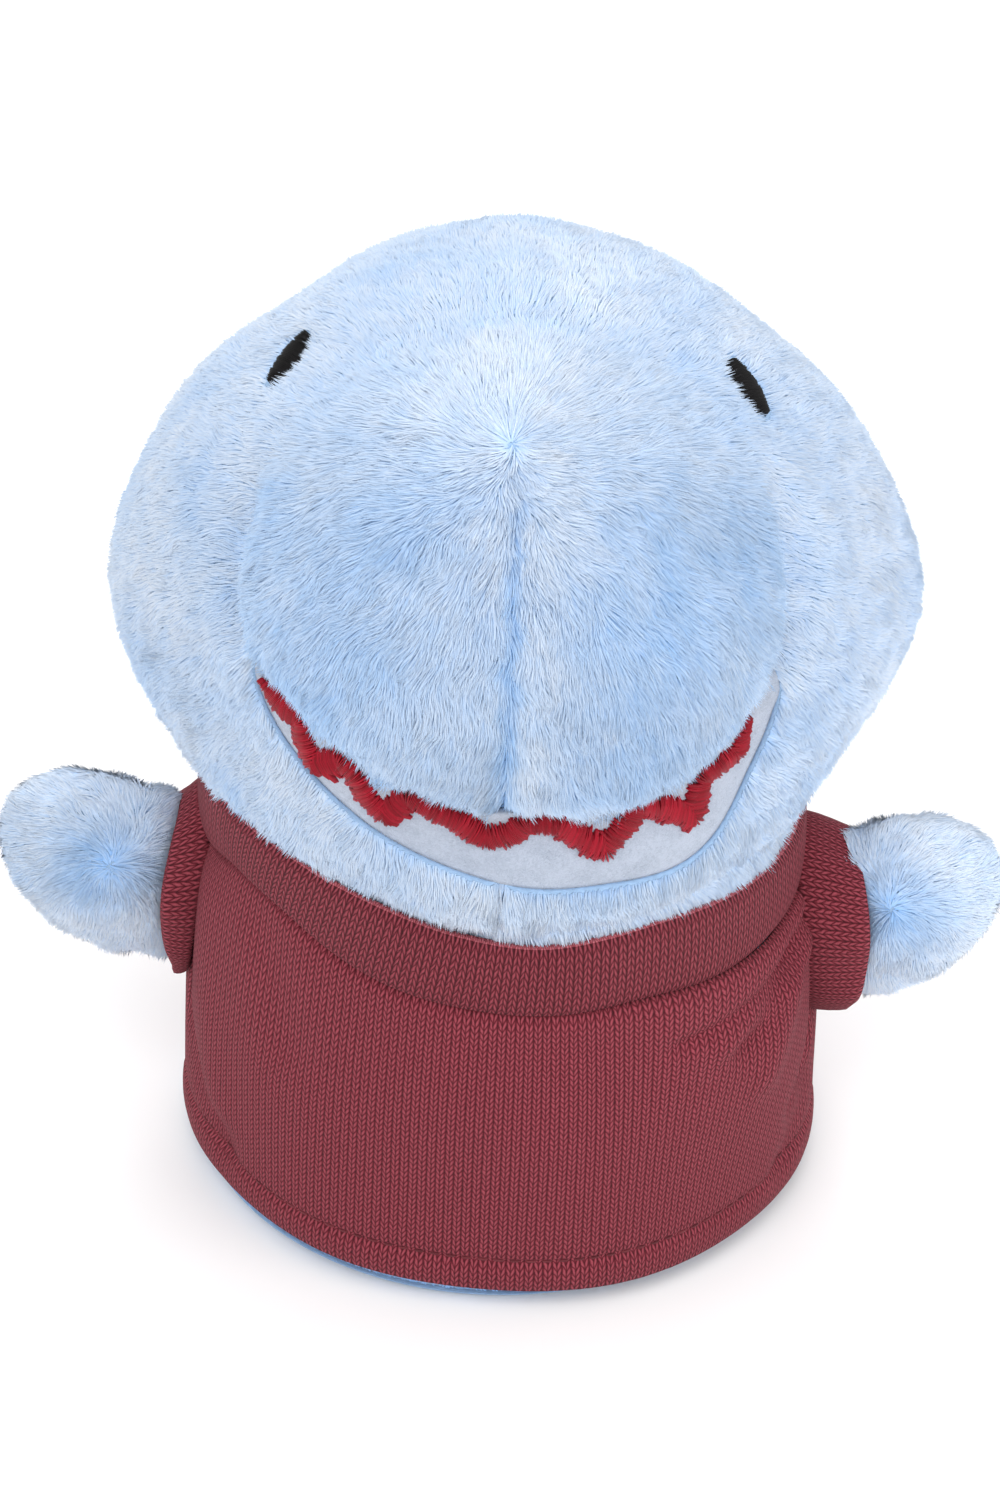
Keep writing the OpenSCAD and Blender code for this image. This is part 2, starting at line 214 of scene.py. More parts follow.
def hollow(t, p, part):
    """How far seams and folds draw a part of the skin in, in mm."""
    d = ray(t, p)
    p = wrapped(p)
    x = 38 * d[..., 0]
    mouth, edge, low = in_mouth(p), lip(p), felt_low(p)
    rise = np.degrees(np.arcsin(np.clip(np.sin(np.radians(p)), -1, 1)))
    down = -t * np.sign(np.sin(np.radians(p)))     # degrees below the snout's axis
    uneven = (0.35 * np.sin(9 * d[..., 0] + 1.7) * np.cos(8 * d[..., 2] + 0.6)
              + 0.25 * np.sin(13 * d[..., 1] + 5 * d[..., 0]))
    cheek_fold = (2.6 * ridge(t - 48, 4.0) * ease((rise + 26) / 12)
                  * ease((40 - rise) / 34) * (1 - mouth))
    brow_fold = 1.1 * ridge(t - 47, 6) * ease((rise - 25) / 30)
    found = uneven + cheek_fold + brow_fold + 0.4 * ridge(t - CROWN_EDGE, 1.3)
    if part == "snout":
        found = found + 1.9 * mouth * ease((t - edge + 9) / 9)
        found = found + 0.5 * ridge(x, 1.1) * ease((down + 20) / 12)
    if part == "felt":
        found = found + mouth * (2.0 - 0.7 * np.clip((t - edge) / (low - edge), 0, 1)
                                + 0.15 * ridge(t - low, 1.3))
    if part == "jaw":
        found = found + mouth * 0.5 * ridge(t - low, 2.5)
        found = found + 0.9 * ridge(x, 0.7)
    if part == "back":
        found = found + 0.7 * ridge(x, 0.7)
    return found


def collar_lift(points):
    """1 where the collar rides up beside the shark's right jaw, 0 elsewhere."""
    around = np.arctan2(points[..., 1], points[..., 0])
    return ease((np.cos(around - math.radians(218)) - 0.66) / 0.28)


def head_skin(t, p, part, deep=0.0):
    """A point of the head's skin, at depth deep below the pile's tips."""
    d = ray(t, p)
    found = HEAD_CENTRE + d * (head_reach(d) - hollow(t, p, part) - deep)[..., None]
    found[..., 2] = np.maximum(found[..., 2], NECK)
    # low down, the plush is pressed against the inside of the collar all the way round
    wide = np.hypot(found[..., 0], found[..., 1])
    room = COLLAR_ROOM + 0.9 * collar_lift(found) * ease((found[..., 2] - 41) / 7)
    short = np.maximum(0, room - deep - wide) * ease((54 - found[..., 2]) / 9)
    found[..., :2] *= (1 + short / np.maximum(wide, 1))[..., None]
    return found


def cells(rows, cols, loop=False, pole=False, far_pole=False):
    """Faces of a grid of points with rows + 1 lines of cols + 1 points. A loop
    joins the last column to the first, and a pole is a line of one point."""
    wide = cols if loop else cols + 1
    first = 1 if pole else 0

    def at(i, j):
        if pole and i == 0:
            return 0
        if far_pole and i == rows:
            return first + (rows - first) * wide
        return first + (i - first) * wide + (j % cols if loop else j)

    faces = []
    for i in range(rows):
        for j in range(cols):
            corners = [at(i, j), at(i + 1, j), at(i + 1, j + 1), at(i, j + 1)]
            faces.append([c for k, c in enumerate(corners) if c != corners[k - 1]])
    return faces, at


def new_piece(name, points, faces):
    """A smooth mesh object from points in millimetres."""
    mesh = bpy.data.meshes.new(name)
    mesh.from_pydata((np.asarray(points) * MM).tolist(), [], faces)
    mesh.validate()
    mesh.shade_smooth()
    return link(bpy.data.objects.new(name, mesh))


def face_out(piece):
    """Turns a closed piece's faces outwards."""
    bm = bmesh.new()
    bm.from_mesh(piece.data)
    bmesh.ops.recalc_face_normals(bm, faces=bm.faces)
    bm.to_mesh(piece.data)
    bm.free()
    return piece


def lump(name, at, rows, cols):
    """A closed lump: at(u, v) gives its skin between a pole at u = 0 and one at u = 1."""
    faces, _ = cells(rows, cols, loop=True, pole=True, far_pole=True)
    u, v = np.meshgrid(np.arange(1, rows) / rows, np.arange(cols) / cols, indexing="ij")
    middle = at(u.ravel(), v.ravel())
    ends = at(np.array([0.0, 1.0]), np.array([0.0, 0.0]))
    return face_out(new_piece(name, np.concatenate([ends[:1], middle, ends[1:]]), faces))


def settle(piece, slot, body, node=None, look=None):
    """Gives a piece its material, hides the CAD node it replaces, and joins it to its body; slot is
    not used.
    """
    if look:
        piece.data.materials.append(look)
    if node:
        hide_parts(node)
    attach(piece, body)


class Graph:
    """A node tree, built call by call. An input takes a value or another node's output."""

    def __init__(self, tree):
        self.tree = tree

    @staticmethod
    def pick(sockets, key):
        alike = [s for s in sockets if s.enabled and s.name == key]
        return alike[0] if alike else sockets[key]

    def feed(self, socket, value):
        if isinstance(value, bpy.types.NodeSocket):
            self.tree.links.new(value, socket)
        else:
            socket.default_value = value

    def add(self, kind, inputs=(), out=0, **settings):
        node = self.tree.nodes.new(kind)
        for label, value in settings.items():
            setattr(node, label, value)
        for key, value in dict(inputs).items():
            self.feed(self.pick(node.inputs, key), value)
        return self.pick(node.outputs, out)

    def maths(self, kind, *values):
        return self.add("ShaderNodeMath", enumerate(values), operation=kind)

    def noise(self, scale, detail, where, **more):
        return self.add("ShaderNodeTexNoise",
                        {"Scale": scale, "Detail": detail, "Vector": where, **more}, "Fac")


class Look(Graph):
    """A material's graph, with its shader's inputs set."""

    def __init__(self, name, inputs):
        self.made = bpy.data.materials.new(name)
        self.made.use_nodes = True
        super().__init__(self.made.node_tree)
        self.paint(inputs)

    def paint(self, inputs):
        for key, value in inputs.items():
            self.feed(self.tree.nodes["Principled BSDF"].inputs[key], value)
        return self.made

    def ramp(self, value, *stops):
        """A colour read at a value. Each stop is a place and a colour."""
        found = self.add("ShaderNodeValToRGB", {"Fac": value}, "Color")
        elements = found.node.color_ramp.elements
        for _ in stops[2:]:
            elements.new(0.5)
        for element, (place, colour) in zip(elements, stops):
            element.position = place
            element.color = (*colour, 1)
        return found

    def bump(self, height, strength, distance):
        return self.add("ShaderNodeBump", {"Strength": strength, "Distance": distance,
                                           "Height": height}, "Normal")

    def own_map(self):
        """The two directions of the piece's own map."""
        where = self.add("ShaderNodeUVMap", out="UV", uv_map="OFBake")
        across = self.add("ShaderNodeSeparateXYZ", {"Vector": where}, "X")
        return across, across.node.outputs["Y"]


def fibre_material(name, colour, dark, low, grain, bump, rough, sheen):
    """Matted fibre: a colour broken by fine noise, with a soft bump."""
    look = Look(name, {"Roughness": rough, "Sheen Weight": sheen})
    noise = look.noise(*grain, look.add("ShaderNodeTexCoord", out="Object"))
    shades = look.ramp(noise, (low, [dark * c for c in colour]), (1, colour))
    return look.paint({"Base Color": shades, "Normal": look.bump(noise, *bump)})


STUFFING_DEEP = 2.2        # depth of the stuffing below the pile's tips
stuffing_look = fibre_material("stuffing_fibre", (0.86, 0.86, 0.84), dark=0.8, low=0,
                               grain=(900, 4), bump=(0.5, 0.0004), rough=0.95, sheen=0.3)


def head_inside(u, v):
    return head_skin(180 * u, 360 * v, "felt", STUFFING_DEEP)


head_stuffing = lump("head_stuffing", head_inside, 40, 72)
settle(head_stuffing, "stuffing", "head", "head_filling", stuffing_look)

# ---------------------------------------------------------------- snout
# The domed front of the head, in short-pile plush. One dart is sewn down its
# middle, and the pile is brushed away from the whorl at the dart's upper end.
PILE_SINK = 0.5            # depth of the woven backing below the tips of the pile
BACKING = 0.6              # thickness of the woven backing
WHORL = (22.0, 93.0)       # degrees from the snout's axis and around it
WHORL_AT = head_skin(*map(np.array, WHORL), "snout")
PILE_DENSE = 3.0e7         # tufts per square metre
RAISED = {"lift": 0.42, "tip": 0.5}    # how pile stands that is brushed less flat


def head_grid(part, t0, t1, p0, p1, rows, cols, deep, loop=False, pole=False):
    """Points of a head panel in lines from t0(p) to t1(p), where deep is below the pile's tips."""
    p = p0 + (p1 - p0) * np.arange(cols if loop else cols + 1) / cols
    lines = []
    for i in range(1 if pole else 0, rows + 1):
        t = t0(p) + (t1(p) - t0(p)) * i / rows
        lines.append(head_skin(t, p, part, deep))
    if pole:
        lines.insert(0, head_skin(t0(p[:1]), p[:1], part, deep))
    return np.concatenate(lines)


def two_faced(name, outer, inner, rows, cols, loop=False, pole=False):
    """A closed piece of cloth between two grids of points, with its edges turned in."""
    faces, at = cells(rows, cols, loop, pole)
    n = len(outer)
    walls = [[at(rows, j), at(rows, j) + n, at(rows, j + 1) + n, at(rows, j + 1)]
             for j in range(cols)]
    if not pole:
        walls += [[at(0, j + 1), at(0, j + 1) + n, at(0, j) + n, at(0, j)] for j in range(cols)]
    if not loop:
        walls += [[at(i, 0), at(i, 0) + n, at(i + 1, 0) + n, at(i + 1, 0)] for i in range(rows)]
        walls += [[at(i + 1, cols), at(i + 1, cols) + n, at(i, cols) + n, at(i, cols)]
                  for i in range(rows)]
    walls = [[c for k, c in enumerate(f) if c != f[k - 1]] for f in walls]
    back = [[c + n for c in reversed(f)] for f in faces]
    return face_out(new_piece(name, np.concatenate([outer, inner]), faces + back + walls))


# The woven ground under the pile: a deeper blue with a fine fuzzy grain
backing_look = fibre_material("plush_backing", (0.36, 0.55, 0.82), dark=0.75, low=0.3,
                              grain=(1400, 3), bump=(0.6, 0.0003), rough=0.9, sheen=0.25)


def write(mesh, name, values):
    """Stores a number or a direction on each of a mesh's points."""
    values = np.ascontiguousarray(values, np.float32)
    kind, key = ("FLOAT", "value") if values.ndim == 1 else ("FLOAT_VECTOR", "vector")
    mesh.attributes.new(name, kind, "POINT").data.foreach_set(key, values.ravel())


def read(mesh, name, width=1):
    data = mesh.attributes[name].data
    found = np.empty(len(data) * width, np.float32)
    data.foreach_get("vector" if width == 3 else "value", found)
    return found.reshape(-1, width) if width > 1 else found


# One tuft of pile: a thin three-sided spike along +Z, a unit long and wide
tuft_mesh = bpy.data.meshes.new("tuft")
tuft_mesh.from_pydata([(0.5, 0, 0), (-0.25, 0.43, 0), (-0.25, -0.43, 0), (0, 0, 1)],
                      [], [(0, 2, 1), (0, 1, 3), (1, 2, 3), (2, 0, 3)])
write(tuft_mesh, "rise", [0, 0, 0, 1])
write(tuft_mesh, "side", [-1, 0, 1, 0])
tuft = bpy.data.objects.new("tuft", tuft_mesh)


class Planter(Graph):
    """A geometry-nodes tree that stands a copy of one thing on each of many points."""

    def __init__(self, name, thing, **inputs):
        super().__init__(bpy.data.node_groups.new(name, "GeometryNodeTree"))
        self.thing, face = thing, self.tree.interface
        for label, kind in (("Geometry", "Geometry"), (thing, "Object"), ("Material", "Material"),
                            *((label.replace("_", " "), "Float") for label in inputs),
                            ("Seed", "Int")):
            face.new_socket(label, in_out="INPUT", socket_type="NodeSocket" + kind)
        for socket in face.items_tree:
            if socket.name.replace(" ", "_") in inputs:
                socket.default_value = inputs[socket.name.replace(" ", "_")]
        face.new_socket("Geometry", in_out="OUTPUT", socket_type="NodeSocketGeometry")
        self.given = self.tree.nodes.new("NodeGroupInput").outputs

    def named(self, name, kind="FLOAT"):
        return self.add("GeometryNodeInputNamedAttribute", {"Name": name}, "Attribute",
                        data_type=kind)

    def spread(self, low, high, salt=0):
        seed = self.maths("ADD", self.given["Seed"], salt)
        return self.add("FunctionNodeRandomValue", {"Min": low, "Max": high, "Seed": seed},
                        "Value", data_type="FLOAT")

    def vectors(self, kind, a, b):
        return self.add("ShaderNodeVectorMath", {0: a, "Scale" if kind == "SCALE" else 1: b},
                        operation=kind)

    def turned(self, way, second, axes):
        return self.add("FunctionNodeAxesToRotation",
                        {"Primary Axis": way, "Secondary Axis": second},
                        primary_axis=axes[0], secondary_axis=axes[1])

    def finished(self, points, turn, size, kept):
        """Plants the copies, keeps values on them, and makes them real and painted."""
        chosen = self.add("GeometryNodeObjectInfo", {"Object": self.given[self.thing]}, "Geometry")
        made = self.add("GeometryNodeInstanceOnPoints", {
            "Points": points, "Instance": chosen, "Rotation": turn,
            "Scale": self.add("ShaderNodeCombineXYZ", enumerate(size))})
        for name, kind, value in kept:
            made = self.add("GeometryNodeStoreNamedAttribute",
                            {"Geometry": made, "Name": name, "Value": value},
                            data_type=kind, domain="INSTANCE")
        made = self.add("GeometryNodeRealizeInstances", {"Geometry": made})
        made = self.add("GeometryNodeSetMaterial",
                        {"Geometry": made, "Material": self.given["Material"]})
        self.feed(self.tree.nodes.new("NodeGroupOutput").inputs["Geometry"], made)
        return self.tree


def pile_tree():
    """Geometry nodes that stand tufts on a surface and brush them along its comb directions."""
    tree = Planter("brushed_pile", "Tuft", Tufts_per_Square_Metre=2.0e7, Length=0.0022,
                   Width=0.0003, Lift=0.55)
    maths, vectors, spread, given = tree.maths, tree.vectors, tree.spread, tree.given

    def drift(scale):
        noise = tree.noise(scale, 1, tree.add("GeometryNodeInputPosition"))
        return maths("SUBTRACT", noise, 0.5)

    def leaned(along, beside, angle):
        return vectors("ADD", vectors("SCALE", along, maths("COSINE", angle)),
                       vectors("SCALE", beside, maths("SINE", angle)))

    points = tree.add("GeometryNodeDistributePointsOnFaces", {
        "Mesh": given["Geometry"], "Seed": given["Seed"],
        "Density": maths("MULTIPLY", given["Tufts per Square Metre"], tree.named("thick"))},
        "Points")
    out_way = points.node.outputs["Normal"]
    comb = tree.named("comb", "FLOAT_VECTOR")
    swirl = maths("ADD", maths("MULTIPLY", drift(110), 1.5), maths("MULTIPLY", drift(480), 2.4))
    swirl = maths("ADD", swirl, spread(-0.16, 0.16, 11))
    flat_way = leaned(comb, vectors("CROSS_PRODUCT", out_way, comb), swirl)
    lift = maths("ADD", given["Lift"], maths("MULTIPLY", drift(560), 0.8))
    lift = maths("ADD", lift, spread(-0.12, 0.12, 23))
    way = leaned(flat_way, out_way, lift)
    width = maths("MULTIPLY", given["Width"], spread(0.7, 1.3, 31))
    long = maths("MULTIPLY", given["Length"], tree.named("long"))
    long = maths("MULTIPLY", long, spread(0.65, 1.2, 41))
    # each tuft keeps its shade, its lie and the direction out of the surface under it
    # the surface's shade holds each panel's painted light and shade; the spread and the drifts add
    # tone that differs at random
    shade = maths("ADD", tree.named("shade"), spread(-0.16, 0.16, 53))
    shade = maths("ADD", shade, maths("MULTIPLY", drift(420), 0.5))
    shade = maths("ADD", shade, maths("MULTIPLY", drift(90), 0.9))
    return tree.finished(
        points, tree.turned(way, vectors("CROSS_PRODUCT", out_way, way), "ZX"),
        (width, width, long), (("tone", "FLOAT", shade), ("soft", "FLOAT_VECTOR", out_way),
                               ("lay", "FLOAT_VECTOR", way)))


def made_plain(name, piece):
    """A plain mesh object of what a piece's modifiers make, in place of the piece."""
    whole = bpy.context.evaluated_depsgraph_get()
    mesh = bpy.data.meshes.new_from_object(piece.evaluated_get(whole))
    bpy.data.objects.remove(piece)
    mesh.name = name
    return link(bpy.data.objects.new(name, mesh))


def grown(name, ground, tree, values):
    """The plain mesh that a geometry-nodes tree makes from a ground object."""
    modifier = ground.modifiers.new("made", "NODES")
    modifier.node_group = tree
    sockets = {s.name: s.identifier for s in tree.interface.items_tree
               if s.item_type == "SOCKET" and s.in_out == "INPUT"}
    for label, value in values.items():
        modifier[sockets[label]] = value
    return made_plain(name, ground)


def map_points(mesh, across, up, used):
    """Gives a mesh its own map from two numbers for each point, and drops used attributes."""
    corner = np.empty(len(mesh.loops), np.int32)
    mesh.loops.foreach_get("vertex_index", corner)
    where = np.stack([across, up], 1)[corner].astype(np.float32)
    mesh.uv_layers.new(name="OFBake", do_init=False).uv.foreach_set("vector", where.ravel())
    mesh.shade_smooth()
    for label in used:
        if label in mesh.attributes:
            mesh.attributes.remove(mesh.attributes[label])


brushed_pile = pile_tree()

# Soft acrylic pile. Its map runs from root to tip one way, and from the darker to the lighter
# tufts the other way. Each tuft is painted darker at its root, as painted shade deep in the pile,
# and the tufts' tones hold the panels' painted light and shade as well as tone that differs at
# random.
pile = Look("pile_blue", {"Roughness": 0.8, "Specular IOR Level": 0})
root_to_tip, tone_and_painted_shade = pile.own_map()
pile_look = pile.paint({"Base Color": pile.add("ShaderNodeMix", {
    "Factor": 1, "A": pile.ramp(root_to_tip, (0, (0.55, 0.71, 0.93)), (0.55, (0.77, 0.85, 0.965))),
    "B": pile.ramp(tone_and_painted_shade, (0, (0.50, 0.72, 0.975)), (1, (1, 1, 1)))},
    "Result", data_type="RGBA", blend_type="MULTIPLY")})


def plant_pile(name, points, faces, comb, body, seed, length=2.3, dense=1.0, shade=0.5,
               width=0.21, lift=0.4, tip=0.35):
    """Pile on a patch of cloth. comb, length, dense and shade may differ from point to point.
    tip is how much a tuft's own lie shows in the way it catches the light."""
    ground = new_piece(name + "_ground", points, faces)
    out = np.empty(len(points) * 3, np.float32)
    ground.data.vertices.foreach_get("normal", out)
    out = out.reshape(-1, 3)
    flat = comb - out * (comb * out).sum(1)[:, None]
    write(ground.data, "comb", flat / np.maximum(np.linalg.norm(flat, axis=1), 1e-6)[:, None])
    for label, value in (("long", length), ("thick", dense), ("shade", shade)):
        write(ground.data, label, np.broadcast_to(value, (len(points),)))
    piece = grown(name, ground, brushed_pile, {
        "Tuft": tuft, "Material": pile_look, "Length": MM, "Width": width * MM, "Lift": lift,
        "Tufts per Square Metre": PILE_DENSE, "Seed": seed})
    mesh = piece.data
    tone, rise, side = read(mesh, "tone"), read(mesh, "rise"), read(mesh, "side")
    soft = read(mesh, "soft", 3) * 0.9 + read(mesh, "lay", 3) * tip
    map_points(mesh, (0.03 + 0.94 * rise + 0.01 * abs(side)).clip(0.005, 0.995),
               (tone * 0.9 + 0.05 + 0.012 * side).clip(0.005, 0.995),
               ("tone", "rise", "side", "soft", "lay", "comb", "long", "thick", "shade"))
    mesh.normals_split_custom_set_from_vertices(unit(soft))
    settle(piece, "plush_pile", body)


def head_comb(points):
    """The way the pile is brushed: away from the whorl, and apart from the dart below it."""
    away = points - WHORL_AT
    x = points[:, 0]
    d = unit(points - HEAD_CENTRE)
    below = ease((np.degrees(np.arccos(np.clip(d @ UPWARD, -1, 1))) - 45) / 25)
    part = np.sign(x) * 0.12 * np.exp(-abs(x) / 4) * below * (d @ AHEAD > 0)
    away /= np.maximum(np.linalg.norm(away, axis=1), 0.5)[:, None]
    return away + part[:, None] * ACROSS


def outward(points, faces, centre=HEAD_CENTRE):
    """The same faces, turned so that they look away from the centre."""
    a, b, c = (points[[f[k] for f in faces]] for k in range(3))
    out = (np.cross(b - a, c - a) * (a - centre)).sum(1)
    return faces if out.sum() > 0 else [list(reversed(f)) for f in faces]


def to(value):
    """An edge that stays at one angle from the snout's axis."""
    return lambda p: np.full(np.shape(p), float(value))


def head_panel(name, node, part, t0, t1, p0, p1, rows, cols, loop=False, pole=False):
    """One panel of the head's plush, as cloth with two faces."""
    layers = [head_grid(part, t0, t1, p0, p1, rows, cols, deep, loop, pole)
              for deep in (PILE_SINK, PILE_SINK + BACKING)]
    settle(two_faced(name, *layers, rows, cols, loop, pole), "plush_pile", "head", node,
           backing_look)


def head_pile(name, part, t0, t1, p0, p1, seed, shade=0.5, dense=1.0, bare=None, **look):
    """The pile of one head panel. A bare(points) keeps part of it free of pile."""
    rows, cols = 70, 110
    points = head_grid(part, t0, t1, p0, p1, rows, cols, PILE_SINK)
    # there is none inside the collar
    dense = dense * ease((points[:, 2] - 40.3 - 4.2 * collar_lift(points)) / 1.2)
    plant_pile(name, points, outward(points, cells(rows, cols)[0]), head_comb(points), "head",
               seed, dense=dense * bare(points) if bare else dense,
               shade=shade(points) if callable(shade) else shade, **look)


def snout_painted_light(points):
    """The pile's tone over the snout: painted light makes it paler towards the top and down the
    middle, a painted shadow darkens the dart's crease, and a painted highlight runs just beside it.
    """
    d = unit(points - HEAD_CENTRE)
    high = np.degrees(np.arcsin(d @ UPWARD))
    dart = ease((25 - high) / 20)
    return (0.34 + 0.28 * ease((high + 5) / 45) + 0.3 * ridge(points[:, 0], 7)
            + 0.15 * dart * ridge(points[:, 0] - 2.5, 2)
            - 0.5 * dart * ridge(points[:, 0], 0.8))


head_panel("snout", "snout_panel", "snout", to(0), lip, 0, 360, 42, 180, loop=True, pole=True)
for side, p0, seed in (("left", -90, 3), ("right", 90, 5)):
    head_pile(f"snout_pile_{side}", "snout", to(0.4), lip, p0, p0 + 180, seed, shade=snout_painted_light)

# ---------------------------------------------------------------- crown
# One wide panel runs from cheek to cheek over the forehead. Its pile is brushed
# back from the face, and it is clipped away under the embroidered eyes.
EYES = {"right_eye": (61.0, 137.0), "left_eye": (57.5, 42.5)}    # degrees, as the whorl's
EYE_HALF = (3.1, 1.75)
EYE_LEAN = 18.0


def eye_axes(name):
    """An eye's middle, and its directions along, across and out of the face."""
    t, p = (np.array(x) for x in EYES[name])
    middle = head_skin(t, p, "crown", PILE_SINK)
    down = head_skin(t + 1, p, "crown", PILE_SINK) - middle
    beside = head_skin(t, p + 1, "crown", PILE_SINK) - middle
    out = np.cross(down, beside)
    out *= np.sign(out @ ray(t, p)) / np.linalg.norm(out)
    down /= np.linalg.norm(down)
    turn = math.radians(90 - EYE_LEAN) * (1 if name == "left_eye" else -1)
    long = down * math.cos(turn) + np.cross(out, down) * math.sin(turn)
    return middle, long, np.cross(out, long), out


def clear_of_eyes(points):
    free = np.ones(len(points))
    for name in EYES:
        middle, long, wide, _ = eye_axes(name)
        x, y = (points - middle) @ long, (points - middle) @ wide
        free *= ((x / EYE_HALF[0]) ** 2 + (y / EYE_HALF[1]) ** 2 > 1.6)
    return free


head_panel("crown", "crown_panel", "crown", lip, to(CROWN_EDGE), -15, 195, 40, 130)
for side, p0, seed in (("left", -15, 7), ("right", 90, 11)):
    # the crown's pile is painted paler (shade 0.75), a painted highlight where the top of the head
    # is lit
    head_pile(f"crown_pile_{side}", "crown", lip, to(CROWN_EDGE), p0, p0 + 105, seed,
              bare=clear_of_eyes, length=1.4, shade=0.75, dense=0.82, **RAISED)

# ---------------------------------------------------------------- jaw
# Two small panels of the same plush meet in the chin seam. They are sewn to the
# felt's lower edge, and run down under the collar to the neck.
for side, p0, seed in (("right", -165, 13), ("left", -90, 17)):
    cut = (felt_low, to(CROWN_EDGE), p0, p0 + 75)
    head_panel(f"{side}_jaw", f"{side}_jaw_panel", "jaw", *cut, 30, 60)
    # the jaw's pile is painted paler (shade 0.7), painted light over the shade above the collar
    head_pile(f"{side}_jaw_pile", "jaw", *cut, seed, length=1.9, dense=0.9, shade=0.7)

# ---------------------------------------------------------------- back of the head
# Two panels close the head behind the cheeks. They are sewn together down the
# middle, with the dorsal fin caught in their seam.
for side, p0, seed in (("left", 90, 19), ("right", 270, 23)):
    head_panel(f"{side}_head_back", f"{side}_head_back_panel", "back", to(180), to(CROWN_EDGE),
               p0, p0 - 180, 50, 100, pole=True)
    head_pile(f"{side}_back_pile", "back", to(179.6), to(CROWN_EDGE), p0, p0 - 180, seed,
              dense=0.52, width=0.28, length=1.6, **RAISED)

# ---------------------------------------------------------------- mouth felt
# A crescent of thin pale felt lies behind the snout's edge and in front of the
# jaw. It is pressed wool, so its face is a mat of short fine fibres.
FELT_WALL = 0.9
felt_rows, felt_cols = 24, 150
felt_faces = [head_grid("felt", lip, felt_low, *CORNERS, felt_rows, felt_cols, deep)
              for deep in (0.0, FELT_WALL)]
felt = two_faced("felt", *felt_faces, felt_rows, felt_cols)

felt_look = Look("pressed_felt", {"Roughness": 0.95, "Specular IOR Level": 0.2,
                                  "Sheen Weight": 0.4, "Sheen Roughness": 0.6})
felt_place = felt_look.add("ShaderNodeTexCoord", out="Object")
fibres = felt_look.noise(3200, 5, felt_place, Distortion=1.5)
matted = felt_look.maths("MULTIPLY_ADD", felt_look.noise(420, 3, felt_place), 0.55, fibres)
felt_look = felt_look.paint({
    "Base Color": felt_look.ramp(matted, (0.35, (0.22, 0.26, 0.34)), (0.9, (0.40, 0.45, 0.55))),
    "Normal": felt_look.bump(fibres, 0.7, 0.00015)})


def area_of(grid, rows, cols, loop=False):
    """Area in square metres of a grid of points in mm."""
    g = grid.reshape(rows + 1, -1, 3)
    g = np.concatenate([g, g[:, :1]], 1) if loop else g
    a, b = g[1:, 1:] - g[:-1, :-1], g[1:, :-1] - g[:-1, 1:]
    return float(np.linalg.norm(np.cross(a, b), axis=2).sum() / 2) * MM * MM


area_of(felt_faces[0], felt_rows, felt_cols)
settle(felt, "mouth_felt", "head", "mouth_felt", felt_look)

# ---------------------------------------------------------------- mouth stitching
# Red satin stitch makes a zigzag of teeth on the felt. The threads lie side by
# side across the band and dive into the felt at both of its edges.
SIDES = 5                  # sides of a thread
RINGS = (-0.42, -0.22, 0.0, 0.22, 0.42)
thread_mesh = bpy.data.meshes.new("thread")
thread_points, thread_faces = [(-0.5, 0, -0.5)], []
for x in RINGS:
    arch = 1 - (2 * x) ** 4
    for k in range(SIDES):
        a = 2 * math.pi * k / SIDES
        thread_points.append((x, 0.5 * math.cos(a), arch - 0.5 + 0.5 * math.sin(a)))
thread_points.append((0.5, 0, -0.5))
for k in range(SIDES):
    n = (k + 1) % SIDES
    thread_faces.append((0, 1 + n, 1 + k))
    for a in range(1, 1 + (len(RINGS) - 1) * SIDES, SIDES):
        thread_faces.append((a + k, a + n, a + n + SIDES, a + k + SIDES))
    a = 1 + (len(RINGS) - 1) * SIDES
    thread_faces.append((a + k, a + n, len(thread_points) - 1))
thread_mesh.from_pydata(thread_points, [], thread_faces)
thread_mesh.shade_smooth()
write(thread_mesh, "across", [p[1] + 0.5 for p in thread_points])
thread = face_out(bpy.data.objects.new("thread", thread_mesh))


def stitch_tree():
    """Geometry nodes that lay one arched thread on each point, along its way attribute."""
    tree = Planter("laid_stitches", "Thread", Width=0.00034, Height=0.0003, Unevenness=0.1)
    given = tree.given
    share = tree.spread(tree.maths("SUBTRACT", 1, given["Unevenness"]),
                        tree.maths("ADD", 1, given["Unevenness"]))
    turn = tree.turned(tree.named("way", "FLOAT_VECTOR"), tree.named("up", "FLOAT_VECTOR"), "XZ")
    size = (tree.maths("MULTIPLY", tree.named("span"), share), given["Width"], given["Height"])
    return tree.finished(given["Geometry"], turn, size, (("tone", "FLOAT", tree.spread(0, 1)),))


laid_stitches = stitch_tree()


def thread_material(name, dark, pale, gloss=0.45, sheen=0.05):
    """Shiny twisted thread: each one has its own tone, and painted shade darkens it at its sides,
    so that its middle is a painted highlight.
    """
    look = Look(name, {"Roughness": gloss, "Specular IOR Level": 0.22, "Sheen Weight": sheen})
    across, tone = look.own_map()
    middle = look.maths("PINGPONG", across, 0.5)
    painted_shine = look.maths("MULTIPLY_ADD", middle, 0.8, look.maths("MULTIPLY", tone, 0.6))
    return look.paint({"Base Color": look.ramp(painted_shine, (0, dark), (1, pale))})


